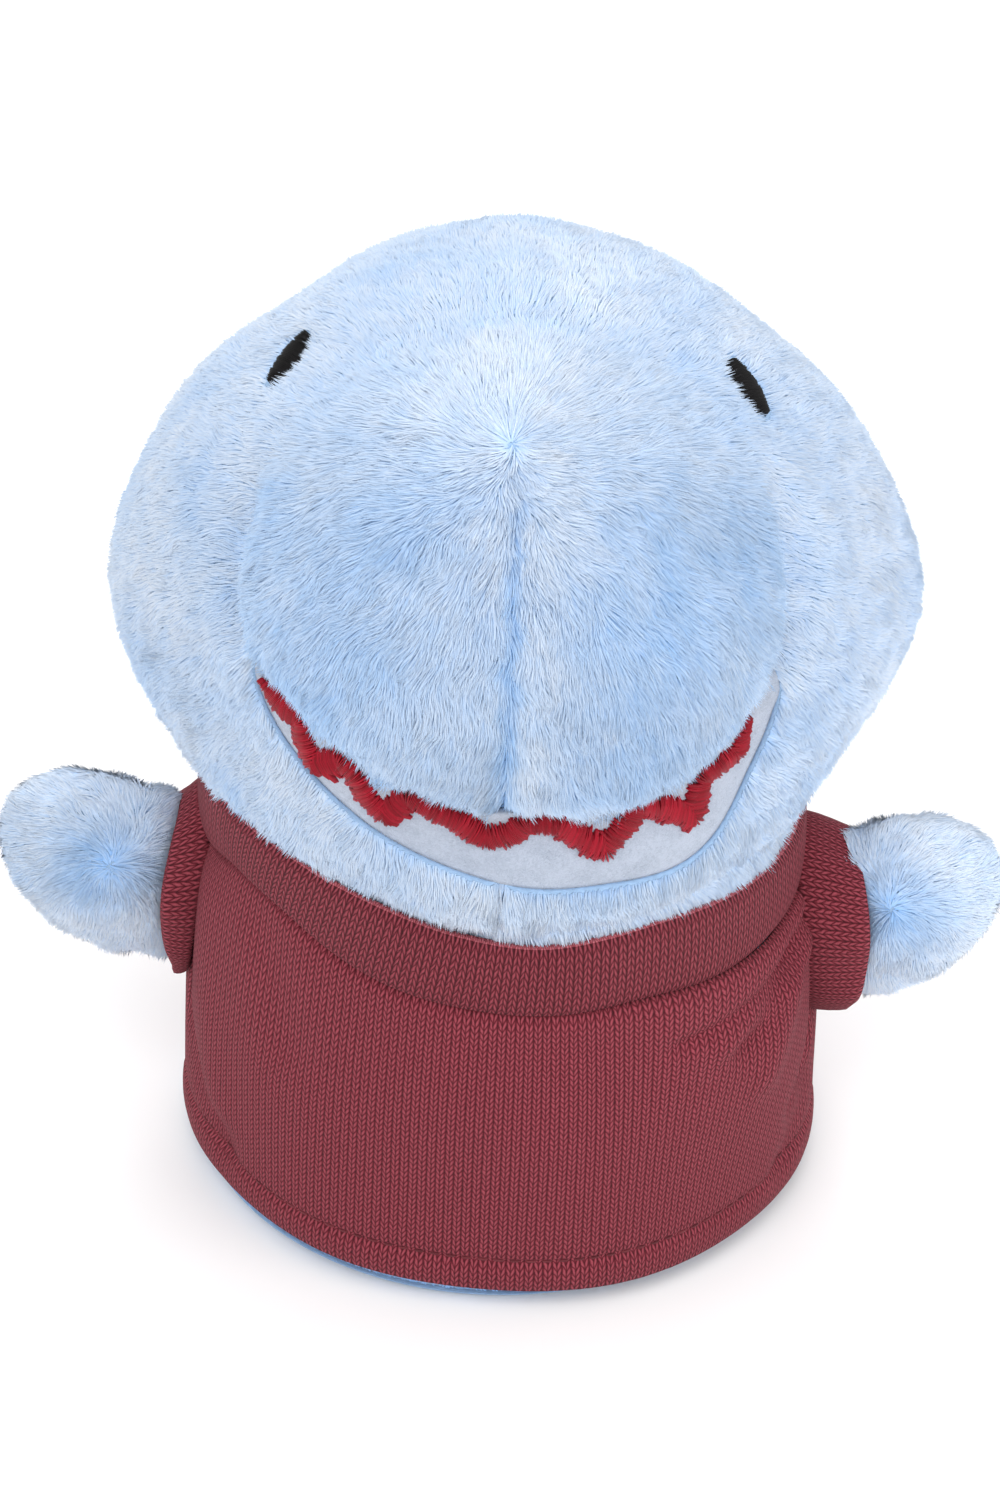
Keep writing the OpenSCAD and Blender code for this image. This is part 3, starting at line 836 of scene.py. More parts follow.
def lay_stitches(name, starts, ends, ups, look, slot, body, seed, node=None, width=0.34,
                 height=0.3, uneven=0.1):
    """Threads from starts to ends on a surface whose outward directions are ups, all in mm."""
    middles, ways = (starts + ends) / 2, ends - starts
    spans = np.linalg.norm(ways, axis=1)
    ground = new_piece(name + "_ground", middles, [])
    for label, value in (("way", ways / spans[:, None]), ("up", ups), ("span", spans * MM)):
        write(ground.data, label, value)
    piece = grown(name, ground, laid_stitches, {
        "Thread": thread, "Material": look, "Width": width * MM, "Height": height * MM,
        "Unevenness": uneven, "Seed": seed})
    across, tone = read(piece.data, "across"), read(piece.data, "tone")
    map_points(piece.data, 0.04 + 0.92 * across, 0.03 + 0.9 * tone + 0.03 * across,
               ("across", "tone", "way", "up", "span"))
    settle(piece, slot, body, node)


# Degrees around the snout and from its axis, from the shark's right corner to its left
TEETH = ((-158.5, 46.1), (-151, 44.6), (-146.5, 42.1), (-140, 45.6), (-136, 47.1), (-133.5, 39.6),
         (-128, 40.1), (-122, 43.6), (-117, 45.1), (-115, 37.6), (-109, 38.1), (-101.5, 39.6),
         (-94, 43.1), (-88, 41.6), (-84, 39.1), (-76.5, 41.1), (-68.5, 49.8), (-63.5, 47.8),
         (-57.5, 44.5), (-54, 47.4), (-50, 55.8), (-43, 49.6), (-38.5, 51), (-34.5, 53.5),
         (-26, 48.5))
BAND_HALF, BAND_TIP = 1.6, 0.35        # half the width of the band, and of its ends
STITCH_PITCH = 0.14


def path_points(points, pitch, place):
    """Points a pitch apart along a path on a surface, with their tangents and their shares."""
    points = np.array(points, float)
    fine = np.concatenate([a + (b - a) * np.linspace(0, 1, 60, endpoint=False)[:, None]
                           for a, b in zip(points[:-1], points[1:])] + [points[-1:]])
    on = place(fine)
    steps = np.concatenate([[0], np.cumsum(np.linalg.norm(np.diff(on, axis=0), axis=1))])
    at = np.arange(0, steps[-1], pitch)
    p = np.stack([np.interp(at, steps, fine[:, k]) for k in range(2)], 1)
    p = np.stack([np.convolve(np.pad(p[:, k], 2, mode="edge"), np.ones(5) / 5, "valid")
                  for k in range(2)], 1)
    on = place(p)
    return p, on, unit(np.gradient(on, axis=0)), at / steps[-1]


def on_felt(points):
    return head_skin(points[:, 1], points[:, 0], "felt", -0.05)


line, on_line, forward, share = path_points(TEETH, STITCH_PITCH, on_felt)
radial = on_felt(line + [0, 0.5]) - on_felt(line - [0, 0.5])
up = np.cross(radial, on_felt(line + [0.5, 0]) - on_felt(line - [0.5, 0]))
up = unit(up * np.sign((up * ray(line[:, 1], line[:, 0])).sum(1))[:, None])
sideways = np.cross(up, forward)
draw = np.random.default_rng(41)
ragged = 1 + 0.15 * draw.standard_normal((len(line), 2)) + 0.05 * np.sin(
    np.arange(len(line))[:, None] * 0.9 + [0, 2])
sideways *= np.sign((sideways * radial).sum(1))[:, None]
sideways = unit(0.65 * sideways + 0.35 * unit(radial))
half = (BAND_TIP + (BAND_HALF - BAND_TIP) * ease(share / 0.03) * ease((1 - share) / 0.07))[:, None]
across = (sideways + 0.12 * forward) * half
red_thread = thread_material("red_satin", (0.13, 0.001, 0.005), (0.46, 0.004, 0.024))
lay_stitches("teeth_stitching", on_line - across * ragged[:, :1], on_line + across * ragged[:, 1:],
             up, red_thread, "mouth_thread", "head", 43, "mouth_stitching", width=0.21, height=0.8)

# ---------------------------------------------------------------- eyes
# Each eye is a tall oval of black satin stitch over a small pad of the same
# thread, worked right through the plush.
FACE_BEND = 36             # radius of the face under an eye
EYE_PITCH, EYE_TILT = 0.17, 0.12
black_thread = thread_material("black_satin", (0.001, 0.001, 0.001), (0.006, 0.005, 0.006),
                               gloss=0.6, sheen=0)
for name, seed in (("left_eye", 47), ("right_eye", 53)):
    middle, long, wide, out = eye_axes(name)

    def on_eye(x, y):
        sag = (x * x + y * y) / (2 * FACE_BEND)
        return middle + x[..., None] * long + y[..., None] * wide - sag[..., None] * out

    def pad_at(u, v):
        a, r = 2 * math.pi * v, np.sin(math.pi * u)
        x, y = EYE_HALF[0] * 0.94 * r * np.cos(a), EYE_HALF[1] * 0.9 * r * np.sin(a)
        return on_eye(x, y) + (np.cos(math.pi * u) * 0.75)[..., None] * out

    settle(lump(name + "_pad", pad_at, 16, 36), "eye_thread", "head", name, black_thread)
    x = np.arange(-EYE_HALF[0] + 0.1, EYE_HALF[0] - 0.1, EYE_PITCH)
    high = EYE_HALF[1] * np.sqrt(np.maximum(0.02, 1 - (x / EYE_HALF[0]) ** 2))
    draw = np.random.default_rng(seed)
    y0, y1 = (sign * high * (1 + 0.07 * draw.standard_normal(len(x))) for sign in (-1, 1))
    lay_stitches(name + "_stitching", on_eye(x - EYE_TILT, y0), on_eye(x + EYE_TILT, y1),
                 np.tile(out, (len(x), 1)), black_thread, "eye_thread", "head", seed, width=0.26,
                 height=1.05, uneven=0.04)

# ---------------------------------------------------------------- side fins
# Each side fin is two mitten-shaped plush panels sewn round the rim, turned
# and stuffed, with its open end rolled and sewn into the body's side.

# The cut: distance out from the middle of the body, and height
FIN_CUT = ((32, 20.5), (36, 18.8), (40.5, 19.4), (45.6, 22.4), (49.1, 27.2), (50.6, 32.5),
           (49.6, 37.3), (46.0, 40.4), (40.8, 41.0), (36, 39.4), (32, 37))
FIN_Y = -1.0
FIN_HALF_THICK = 4.4
FIN_RISE = {"left": -0.9, "right": 0.7}     # how much higher than the cut each one is sewn
FIN_WHORL = (39.5, 32.0)   # where the pile is brushed from, as the cut
SIDE = {"left": 1, "right": -1}


def closed_curve(points, count):
    """A smooth closed outline through a few points."""
    points = np.array(points, float)
    n = len(points)
    at = np.arange(count) * n / count
    i, s = np.floor(at).astype(int), (at % 1)[:, None]
    a, b, c, d = (points[(i + k) % n] for k in (-1, 0, 1, 2))
    return 0.5 * (2 * b + (c - a) * s + (2 * a - 5 * b + 4 * c - d) * s * s
                  + (3 * b - a - 3 * c + d) * s**3)


FIN_ROWS, FIN_COLS = 26, 120
fin_outline = closed_curve(FIN_CUT, FIN_COLS)
fin_middle = np.array([40.5, 29.8])


def bulged(outline, middle, rows, half_thick, power, inset):
    """Rows of points from an outline's middle to its rim: places on the cut, how far out each
    is, and half thicknesses."""
    out = outline - middle
    out = out * (1 - inset / np.linalg.norm(out, axis=1)[:, None])
    u = np.repeat(np.sin(math.pi / 2 * np.arange(1, rows + 1) / rows), len(outline))
    flat = middle + np.tile(out, (rows, 1)) * u[:, None]
    thick = (half_thick - inset) * np.sqrt(np.maximum(0.0, 1 - u**power))
    return np.concatenate([[middle], flat]), np.append(0, u), np.append(half_thick - inset, thick)


def fin_face(side, face, inset=0.0):
    """One face of a side fin, from its middle out to the seam. face is -1 in front."""
    flat, u, thick = bulged(fin_outline, fin_middle, FIN_ROWS, FIN_HALF_THICK, 2.4, inset)
    around = np.append(0, np.tile(np.arange(FIN_COLS) * 2 * math.pi / FIN_COLS, FIN_ROWS))
    pucker = 0.22 * np.sin(9 * around + face) * ease((u - 0.75) / 0.2)
    pucker *= 1 - ease((u - 0.93) / 0.07)
    return np.stack([SIDE[side] * flat[:, 0], FIN_Y + face * (thick + pucker),
                     flat[:, 1] + FIN_RISE[side]], 1)


def fin_panel(name, body, node, fill, outer, inner, cols, centre, comb, seed, **look):
    """A fin's panel between two grids of points around a pole, and its pile."""
    rows = (len(outer) - 1) // cols
    panel = two_faced(name, outer, inner, rows, cols, loop=True, pole=True)
    settle(panel, "plush_pile", body, node, backing_look)
    faces = outward(outer, cells(rows, cols, loop=True, pole=True)[0], centre)
    plant_pile(name + "_pile", outer, faces, comb, body, seed, **look)


def core_between(name, front, back, cols, body, node):
    """Stuffing between two faces, closed along their rims."""
    n = len(front)
    faces = cells((n - 1) // cols, cols, loop=True, pole=True)[0]
    rim = [n - cols + k for k in range(cols)]
    walls = [[rim[k - 1], rim[k], rim[k] + n, rim[k - 1] + n] for k in range(cols)]
    core = new_piece(name, np.concatenate([front, back]),
                     faces + [[c + n for c in f] for f in faces] + walls)
    settle(face_out(core), "stuffing", body, node, stuffing_look)


for side in ("left", "right"):
    body = f"{side}_fin"
    whorl = np.array([SIDE[side] * FIN_WHORL[0], FIN_Y, FIN_WHORL[1] + FIN_RISE[side]])
    for label, face, seed in (("front", -1, 61), ("back", 1, 67)):
        ground = fin_face(side, face, PILE_SINK)
        away = ground - whorl
        far = np.linalg.norm(away[:, [0, 2]], axis=1)
        away[:, 1] = 0
        away /= np.maximum(far, 0.5)[:, None]
        away += [0.25 * SIDE[side], 0, -0.3]
        # the fin's pile is painted darker at the whorl and paler towards the rim: painted shade
        # over the fin's middle and painted light at its rim
        fin_panel(f"{body}_{label}", body, f"{body}_{label}_panel", 0.85, ground,
                  fin_face(side, face, PILE_SINK + BACKING), FIN_COLS, whorl, away,
                  seed + SIDE[side], length=2.0 - 0.5 * ease((far - 3) / 6), lift=0.22,
                  shade=0.12 + 0.75 * ease(far / 8))
    core_between(f"{body}_stuffing", fin_face(side, -1, STUFFING_DEEP),
                 fin_face(side, 1, STUFFING_DEEP), FIN_COLS, body, f"{body}_filling")

# ---------------------------------------------------------------- dorsal fin
# A small curved fin of two plush panels over a thin layer of stuffing. It stands
# in the seam at the back of the head and leans down and back.
BACK_DROP = math.radians(8)
DORSAL_HALF_THICK = 2.3
DORSAL_SINK, DORSAL_BACKING, DORSAL_CORE = 0.7, 0.5, 1.4
# The cut: distance out of the head, and distance up the seam
DORSAL_CUT = ((-1.5, 9.6), (3, 9.9), (7.5, 7.6), (11.2, 3.6), (13.8, -1.8), (14.6, -6.6),
              (13.2, -9.4), (10.6, -9.9), (7, -8.9), (3, -8.6), (-1.5, -9.2), (-2, 0))
DORSAL_OUT = np.array([0, math.cos(BACK_DROP), -math.sin(BACK_DROP)])
DORSAL_UP = np.array([0, math.sin(BACK_DROP), math.cos(BACK_DROP)])
SEAM = HEAD_CENTRE + DORSAL_OUT * head_reach(DORSAL_OUT)
DORSAL_ROWS, DORSAL_COLS = 16, 96
dorsal_outline = closed_curve(DORSAL_CUT, DORSAL_COLS)
dorsal_middle = np.array([6.0, 0.0])


def dorsal_face(side, inset):
    """One face of the dorsal fin. side is 1 on the shark's left."""
    flat, _, thick = bulged(dorsal_outline, dorsal_middle, DORSAL_ROWS, DORSAL_HALF_THICK, 2.2,
                            inset)
    return (SEAM + flat[:, :1] * DORSAL_OUT + flat[:, 1:] * DORSAL_UP
            + (side * thick)[:, None] * ACROSS)


for label, side, seed in (("left", 1, 71), ("right", -1, 73)):
    ground = dorsal_face(side, DORSAL_SINK)
    fin_panel(f"dorsal_{label}", "dorsal_fin", f"dorsal_fin_{label}_panel", 0.7, ground,
              dorsal_face(side, DORSAL_SINK + DORSAL_BACKING), DORSAL_COLS, SEAM + 6 * DORSAL_OUT,
              np.tile(0.8 * DORSAL_OUT - 0.5 * DORSAL_UP, (len(ground), 1)), seed, length=2.0)
core_between("dorsal_stuffing", dorsal_face(-1, DORSAL_CORE), dorsal_face(1, DORSAL_CORE),
             DORSAL_COLS, "dorsal_fin", "dorsal_fin_filling")

# ---------------------------------------------------------------- body
# A squat stuffed bag of plush sits under the shirt: a front and a back panel
# sewn at the sides, and a round base that it stands on.
BODY_HALF, BODY_MID, BODY_HIGH = 30.8, 14.0, 24.3
NECK_SEAM, BASE_WALL = 38.0, 0.9
PILE_TOP = 4.5             # only the pile below the hem shows


def body_radius(z):
    return BODY_HALF * (1 - (abs(z - BODY_MID) / BODY_HIGH) ** 6) ** (1 / 6)


def ring(r, a, z, shift=0):
    """Points at a radius and a height, at degrees round from the shark's left."""
    return np.stack([r * np.cos(np.radians(a)) + shift, r * np.sin(np.radians(a)), z + 0 * a], 1)


for label, p0, seed in (("front", 180, 79), ("back", 0, 83)):
    def body_grid(deep, heights, cols):
        a = p0 + 180 * np.arange(cols + 1) / cols
        return np.concatenate([ring(body_radius(z) - deep, a, z) for z in heights])

    layers = [body_grid(deep, np.linspace(BASE_WALL, NECK_SEAM, 41), 90) for deep in (0.5, 1.1)]
    settle(two_faced(f"body_{label}", *layers, 40, 90), "plush_pile", "root",
           f"body_{label}_panel", backing_look)
    ground = body_grid(0.4, np.linspace(BASE_WALL, PILE_TOP, 8), 120)
    # the pile below the hem is painted dark (shade 0.1), a painted shadow under the shirt's hem
    plant_pile(f"body_{label}_pile", ground, outward(ground, cells(7, 120)[0], [0, 0, 2]),
               np.tile([0.0, 0.0, 1.0], (len(ground), 1)), "root", seed, length=1.4, shade=0.1)


def base_at(u, v):
    wide, a = (body_radius(0) - 0.2) * np.sin(math.pi * u) ** 0.35, 2 * math.pi * v
    return np.stack([wide * np.cos(a), wide * np.sin(a),
                     BASE_WALL / 2 * (1 + np.cos(math.pi * u))], -1)


settle(lump("base_disc", base_at, 24, 120), "plush_pile", "root", "base_panel", backing_look)

# ---------------------------------------------------------------- shirt
# A short T-shirt of fine maroon jersey: a front and a back, sewn at the sides,
# with the hem folded up inside and caught by one line of stitches.
SHIRT_HALF, HEM, COLLAR_SEAM = 32.3, 2.2, 36.0
SHOULDER_IN, STRAIGHT = 2.1, 18.0
KNIT = 0.8
SHIRT_SHIFT = 0.8          # the shirt is pulled a little to the shark's left
WALE, COURSE = 0.93, 0.64  # width of a stitch, and its height
TILE = 16                  # stitches in one repeat of the knit's map


def shirt_radius(z):
    return SHIRT_HALF - SHOULDER_IN * (np.maximum(0, np.minimum(z, COLLAR_SEAM) - STRAIGHT)
                                       / (COLLAR_SEAM - STRAIGHT)) ** 2


# How far the collar's seam and its rim ride up, at degrees round from the shark's left
SEAM_RISE = ((170, 0), (195, 2.0), (210, 4.6), (224, 4.3), (236, 2.4), (248, 1.0), (262, -0.1),
             (280, -0.8), (296, -1.0), (315, -2.0), (335, -2.6), (352, -2), (372, 0), (530, 0))
RIM_RISE = ((170, 0), (185, 1.6), (197, 3.4), (207, 5.2), (220, 5.4), (232, 4.8), (249, 3.4),
            (262, 1.6), (276, 0.3), (290, 0.5), (302, 0.7), (316, 0.1), (330, -0.8), (350, -0.8),
            (372, 0), (530, 0))


def rise_at(table, a):
    return curve_through(table, (np.asarray(a, float) - 170) % 360 + 170)


def crease(a, z, ends, width, deep):
    """A soft fold along a line on the shirt. ends are two pairs: degrees round, and height."""
    (a0, z0), (a1, z1) = ends
    x, y = np.radians(a - a0) * SHIRT_HALF, z - z0
    u, v = math.radians(a1 - a0) * SHIRT_HALF, z1 - z0
    long = math.hypot(u, v)
    along, off = (x * u + y * v) / long, (x * v - y * u) / long
    fade = ease(along / 4 + 0.5) * ease((long - along) / 4 + 0.5)
    return deep * ridge(off, width) * fade


# Each fold: where it runs (degrees round from the shark's left, and height), width and depth
FOLDS = (((350, 34), (302, 30.5), 1.1, 0.8), ((352, 31), (312, 28), 1.3, -0.5),
         ((186, 34), (190, 14), 1.6, 1.2), ((196, 36), (208, 10), 4.0, -0.7),
         ((352, 33), (344, 12), 1.8, 1.3), ((342, 34), (316, 26), 1.9, 1.0),
         ((336, 30), (322, 20), 2.4, -0.8), ((214, 38), (230, 24), 3.0, 0.6),
         ((353, 20), (334, 11), 2.2, 1.0), ((350, 12), (330, 6), 2.2, 0.8),
         ((192, 14), (214, 6), 2.6, 0.8), ((10, 34), (16, 12), 2.0, 0.8),
         ((170, 34), (163, 12), 2.0, 0.8), ((60, 30), (52, 10), 4.0, 0.4),
         ((118, 32), (124, 12), 4.0, 0.4))


def shirt_folds(a, z):
    """How far folds move the shirt's face in, at a degrees round from the shark's left."""
    a = np.asarray(a, float) % 360
    found = 0.25 * np.sin(np.radians(3 * a) + 0.5) + 0.18 * np.sin(np.radians(7 * a) + 0.12 * z)
    for a0, a1, width, deep in FOLDS:
        found = found + crease(a, z, (a0, a1), width, deep)
    found = found * ease((COLLAR_SEAM + 1 - z) / 6)
    hem = 0.5 * ridge(z - HEM - 4.0, 0.5)
    bulge = -0.25 * ridge(z - HEM - 2.0, 1.5)
    return found + hem + bulge


def knit_material(name, dark, mid, pale, rib=0.0, gap_depth=0.00022):
    """Jersey stitches drawn on the piece's own map, where one unit is 16 stitches."""
    look = Look(name, {"Roughness": 0.85, "Specular IOR Level": 0.25, "Sheen Weight": 0.05,
                       "Sheen Roughness": 0.4, "Sheen Tint": (1, 0.5, 0.55, 1)})
    maths = look.maths
    u, v = (maths("MULTIPLY", maths("FRACT", way), TILE) for way in look.own_map())
    place = look.add("ShaderNodeCombineXYZ", {"X": u, "Y": v})
    wobble = maths("SUBTRACT", look.noise(1.3, 2, place), 0.5)
    off = maths("SUBTRACT", maths("FRACT", maths("MULTIPLY_ADD", wobble, 0.25, u)), 0.5)
    off = maths("ABSOLUTE", off)
    rise = maths("SUBTRACT", v, maths("MULTIPLY", off, 2.1))
    rise = maths("FRACT", maths("ADD", rise, maths("MULTIPLY", wobble, 0.5)))
    legs = maths("POWER", maths("SINE", maths("MULTIPLY", rise, math.pi)), 0.7)
    legs = maths("MULTIPLY_ADD", legs, 0.82, 0.18)
    beside = maths("POWER", maths("SINE", maths("MULTIPLY", off, 2 * math.pi)), 0.45)
    valley = maths("MULTIPLY", maths("POWER", maths("MULTIPLY", off, 2.0), 3.0), 0.45 + rib)
    high = maths("MULTIPLY", maths("MULTIPLY", legs, beside), maths("SUBTRACT", 1.0, valley))
    high = maths("MULTIPLY_ADD", look.noise(9, 4, place), 0.3, maths("MULTIPLY", high, 0.85))
    # the colour follows the stitches' height: painted shade in the gaps between the wales and
    # loops, and a painted highlight on the raised legs
    return look.paint({"Base Color": look.ramp(high, (0.12, dark), (0.5, mid), (0.95, pale)),
                       "Normal": look.bump(high, 0.9, gap_depth)})


jersey = knit_material("maroon_jersey", (0.018, 0.001, 0.003), (0.132, 0.011, 0.021),
                       (0.33, 0.058, 0.080))
rib_knit = knit_material("maroon_rib", (0.016, 0.001, 0.003), (0.120, 0.010, 0.019),
                         (0.31, 0.054, 0.074), rib=0.12, gap_depth=0.00028)
# A paler copy of the jersey, a painted highlight for the collar's fold
fold_highlight_knit = knit_material("maroon_fold", (0.16, 0.016, 0.024), (0.36, 0.070, 0.090),
                          (0.62, 0.18, 0.21))


def lengths(steps):
    """Lengths along a path at each of its points, from its steps."""
    return np.concatenate([[0], np.cumsum(steps)])


def profile(path):
    """The heights of a sheet's path, and the lengths along it."""
    path_in, path_z = np.array(path).T
    return path_z, lengths(np.hypot(np.diff(path_in), np.diff(path_z)))


def cloth_sheet(name, points, rows, cols, uv, thick, look, loop=False, keep=None):
    """A sheet of cloth from one grid of points, given its thickness. keep leaves out a hole."""
    faces, _ = cells(rows, cols, loop)
    kept = [keep is None or keep(points[f].mean(0)) for f in faces]
    piece = new_piece(name, points, [f for f, k in zip(faces, kept) if k])
    u, v = np.broadcast_to(uv[0], (rows + 1, cols + 1)), uv[1]
    corner_uv = [(u[i + m, j + n], v[i + m]) for i in range(rows) for j in range(cols)
                 if kept[i * cols + j] for m, n in ((0, 0), (1, 0), (1, 1), (0, 1))]
    piece.data.uv_layers.new(name="OFBake").uv.foreach_set(
        "vector", np.array(corner_uv, np.float32).ravel())
    piece.data.materials.append(look)
    wall = piece.modifiers.new("thickness", "SOLIDIFY")
    wall.thickness, wall.offset, wall.use_even_offset = thick * MM, 0, True
    return face_out(made_plain(name, piece))


# The sheet's path from the raw edge inside, round the hem's fold, and up to the collar's seam:
# distance in from the shirt's face, and height
HEM_FOLD = [(1.05, 6.6), (1.1, 5.6), (1.1, 4.4), (1.05, 3.4), (0.8, 2.75), (0.4, 2.5),
            (0.05, 2.8), (0, 3.4)]
SHIRT_TOP = [(0.1, 35.3), (0.35, 35.75), (0.9, 36.1)]
SHIRT_PATH = HEM_FOLD + [(0.0, z) for z in np.arange(3.9, 35.1, 0.5)] + SHIRT_TOP
ARM_PLACE, ARM_HOLE = (-1, 28.4), (4.6, 8.4)     # an armhole's middle and half its size
SHIRT_COLS = 200
path_z, path_long = profile(SHIRT_PATH)


def hem_wave(a, z):
    return 0.35 * np.sin(np.radians(2 * a + 20)) * max(0, 1 - z / 9)


def off_armhole(middle):
    y, z = ((middle[k + 1] - ARM_PLACE[k]) / ARM_HOLE[k] for k in range(2))
    return y**2 + z**2 > 1


for label, p0 in (("front", 180), ("back", 0)):
    a = p0 + 0.25 + 179.5 * np.arange(SHIRT_COLS + 1) / SHIRT_COLS
    side_seam = 0.35 * ridge(np.minimum(a - p0, p0 + 180 - a), 0.9)
    grid = np.concatenate([ring(
        shirt_radius(z) - inward - shirt_folds(a, z) - side_seam - 0.35, a,
        z + hem_wave(a, z) + rise_at(SEAM_RISE, a) * ease((z - 22) / 14), SHIRT_SHIFT)
        for inward, z in SHIRT_PATH])
    lean = 0.3 * ease((a - 285) / 50) if label == "front" else 0 * a
    around = (np.radians(a) * SHIRT_HALF - lean * (path_z[:, None] - 18)) / WALE / TILE
    sheet = cloth_sheet(f"shirt_{label}_cloth", grid, len(SHIRT_PATH) - 1, SHIRT_COLS,
                        (around, path_long / COURSE / TILE), KNIT, jersey, keep=off_armhole)
    wide, long = math.pi * SHIRT_HALF * MM, path_long[-1] * MM
    settle(sheet, "shirt_jersey", "root", f"shirt_{label}")

# ---------------------------------------------------------------- collar
# The collar is a band of rib knit, folded double with its fold at the top, and
# sewn to the shirt's top edge so that the seam sinks in.
COLLAR_PATH = [(1.3, 36.6), (1.25, 37.6), (1.2, 39), (1.15, 40.5), (1.15, 42), (1.05, 42.8),
               (0.75, 43.25), (0.35, 43.2), (0.08, 42.8), (0, 42.2), (0, 41.4), (0, 40.6),
               (0, 39.8), (0, 39), (0, 38.2), (0.02, 37.5), (0.12, 36.9), (0.4, 36.4),
               (0.9, 36.15)]
COLLAR_HIGH, COLLAR_WALL, FOLD_ROW = 7.25, 0.5, 6
COLLAR_COLS = 420
path_z, path_long = profile(COLLAR_PATH)
a = 360 * np.arange(COLLAR_COLS) / COLLAR_COLS
sway = 0.12 * np.sin(np.radians(5 * a)) + 0.1 * np.sin(np.radians(11 * a + 40))
grid = []
for inward, z in COLLAR_PATH:
    up = (z - COLLAR_SEAM) / COLLAR_HIGH
    bulge = 0.25 * np.sin(math.pi * min(max(up, 0), 1))
    r = (shirt_radius(COLLAR_SEAM) - 0.35 - inward - sway + bulge
         + 0.22 * up * rise_at(RIM_RISE, a).clip(0))
    high = z + rise_at(SEAM_RISE, a) * (1 - up) + rise_at(RIM_RISE, a) * up
    band = ring(r, a, high)
    for _ in range(8):                 # the band lies against the head without cutting into it
        gap = np.linalg.norm(band - HEAD_CENTRE, axis=1)
        short = head_reach((band - HEAD_CENTRE) / gap[:, None]) + 0.1 - inward * 0.2 - gap
        band[:, :2] *= (1 + 0.8 * short.clip(0, 3) * (z > 40) / 30)[:, None]
    grid.append(band)
turn = np.arange(COLLAR_COLS + 1) / COLLAR_COLS
lean = 0.4 * ease((360 * turn - 195) / 15) * ease((290 - 360 * turn) / 60)
around = (turn * round(2 * math.pi * 30 / WALE / TILE)
          - lean * (path_z[:, None] - COLLAR_SEAM) / WALE / TILE)
collar = cloth_sheet("collar_band", np.concatenate(grid), len(COLLAR_PATH) - 1, COLLAR_COLS,
                     (around, path_long / (COURSE * 1.15) / TILE), COLLAR_WALL, rib_knit, loop=True)
settle(collar, "shirt_rib", "root", "shirt_collar", fold_highlight_knit)
sheet_faces = (len(COLLAR_PATH) - 1) * COLLAR_COLS
for face in collar.data.polygons:      # the fold row gets the paler knit, a painted highlight where the fold catches the light
    if face.index < 2 * sheet_faces and face.index % sheet_faces // COLLAR_COLS == FOLD_ROW:
        face.material_index = 1

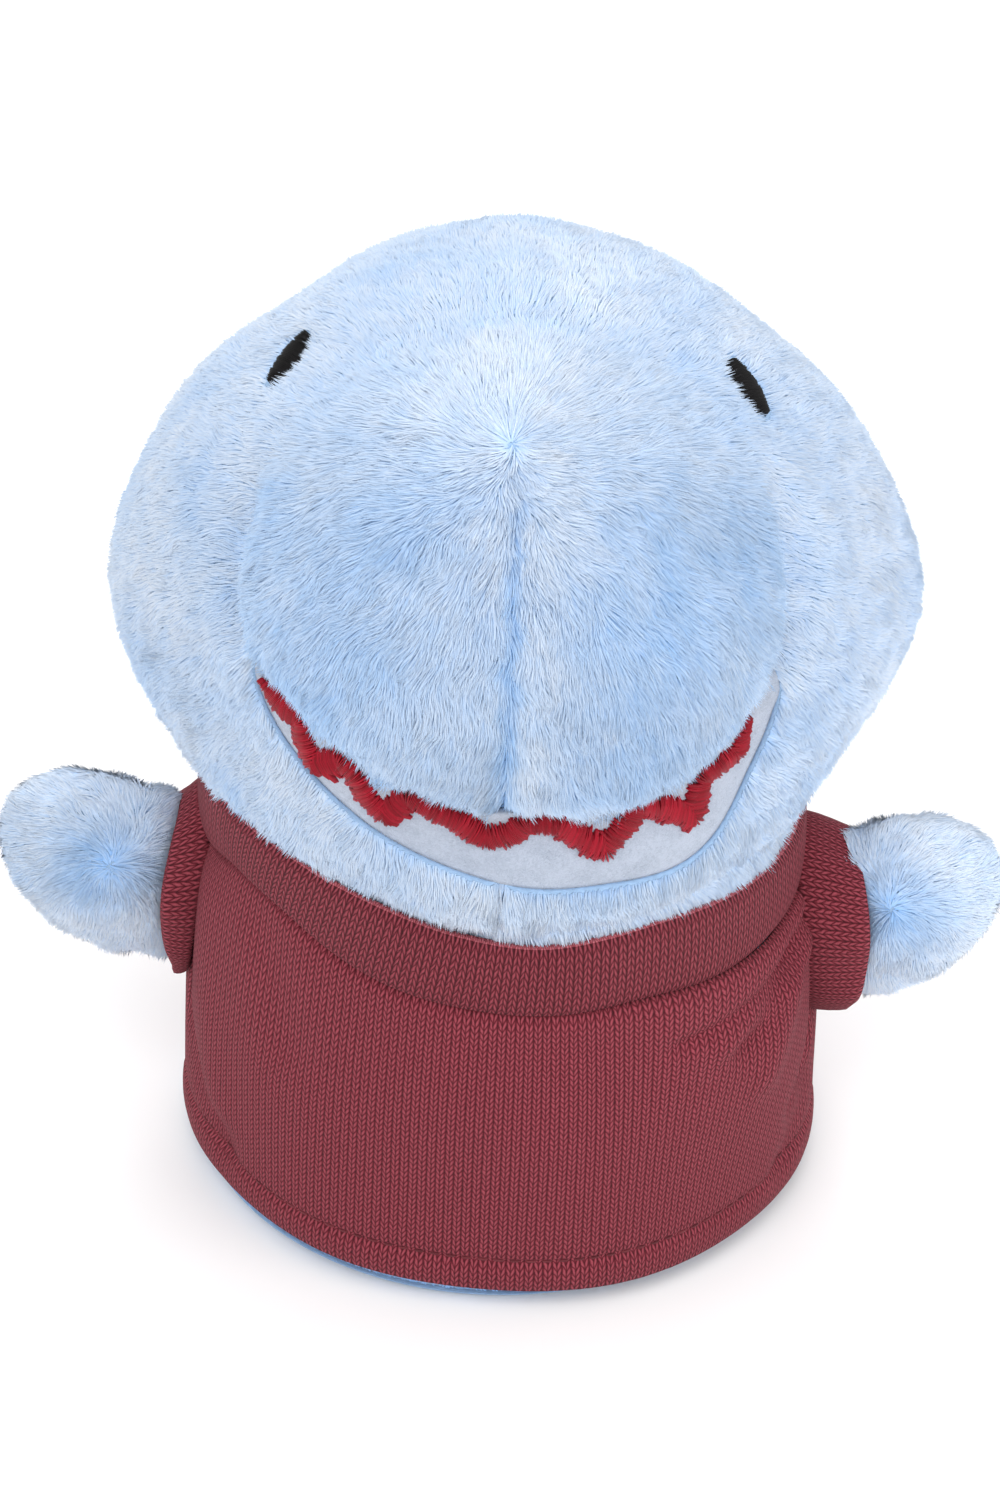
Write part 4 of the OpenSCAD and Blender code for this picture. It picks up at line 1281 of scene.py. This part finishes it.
# ---------------------------------------------------------------- sleeves
# A short sleeve of the same jersey rings each side fin, with its end folded in.
# It is sewn round the armhole, and its end follows the fin.
SLEEVE_HALF = (5.6, 9.7)
SLEEVE_END = {"left": 36.6, "right": 33.3}
SLEEVE_HIGH = {"left": 26.9, "right": 28.5}
SLEEVE_WALL, SLEEVE_GIRTH = 0.55, 58
SLEEVE_PATH = [(0.0, 0.0), (0.12, 0.25), (0.3, 0.42), (0.55, 0.5), (0.8, 0.5), (0.92, 0.45),
               (0.99, 0.2), (1.0, -0.3), (0.94, -0.75), (0.7, -0.8), (0.45, -0.75)]
SLEEVE_ROWS, SLEEVE_COLS = len(SLEEVE_PATH) - 1, 150
for side, s in SIDE.items():
    v = np.arange(SLEEVE_COLS) * 2 * math.pi / SLEEVE_COLS
    wave = 0.22 * np.sin(5 * v + s) + 0.15 * np.sin(9 * v)
    grid = []
    for along, puff in SLEEVE_PATH:
        y = FIN_Y + (SLEEVE_HALF[0] + puff + wave * along) * np.cos(v)
        slope = 1.6 * (1 - along) * (1 + 0.9 * np.sin(v))
        z = SLEEVE_HIGH[side] + (SLEEVE_HALF[1] + puff + wave * along + slope) * np.sin(v)
        near = np.sqrt((shirt_radius(z) - 0.5) ** 2 - y * y)
        far = np.maximum(SLEEVE_END[side] - 0.3 + 0.8 * np.cos(2 * v), near + 1.2)
        grid.append(np.stack([s * (near + (far - near) * along), y, z], 1))
    steps = np.linalg.norm(np.diff(np.array(grid), axis=0), axis=2).mean(1)
    grid = np.concatenate(grid)
    around = np.arange(SLEEVE_COLS + 1) / SLEEVE_COLS * round(SLEEVE_GIRTH / WALE / TILE)
    sleeve = cloth_sheet(f"{side}_sleeve_cloth", grid, SLEEVE_ROWS, SLEEVE_COLS,
                         (around, lengths(steps) / COURSE / TILE), SLEEVE_WALL, jersey, loop=True)
    area_of(grid, SLEEVE_ROWS, SLEEVE_COLS, loop=True)
    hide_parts(f"{side}_sleeve")
    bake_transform(sleeve)

# ---------------------------------------------------------------- hem stitching
# One line of maroon thread holds the folded hem. It is sewn by machine through
# both layers, and its stitches sink into the jersey.
HEM_LINE = HEM + 4.0
HEM_STEP, HEM_STITCH = 2.9, 2.3        # degrees from stitch to stitch, and of one stitch
a = np.arange(0, 360, HEM_STEP)
on_hem = [ring(shirt_radius(HEM_LINE) - shirt_folds(b, HEM_LINE) + 0.05, b,
               HEM_LINE + hem_wave(a, HEM_LINE), SHIRT_SHIFT) for b in (a, a + HEM_STITCH)]
hem_thread = thread_material("hem_thread", (0.05, 0.004, 0.008), (0.19, 0.03, 0.04), gloss=0.6)
lay_stitches("hem_stitches", *on_hem, ring(1, a, 0), hem_thread, "shirt_thread", "root", 91,
             "hem_stitching", width=0.3, height=0.25)

# ---------------------------------------------------------------- hidden fillings
# The body's stuffing and the bag of pellets that makes the toy sit are never
# seen, so the CAD shapes stand for them, in the stuffing's and the felt's looks.
for name, look in (("body_filling", stuffing_look), ("pellet_bag", felt_look)):
    node = bpy.data.objects[name]
    node.data.materials.clear()
    node.data.materials.append(look)
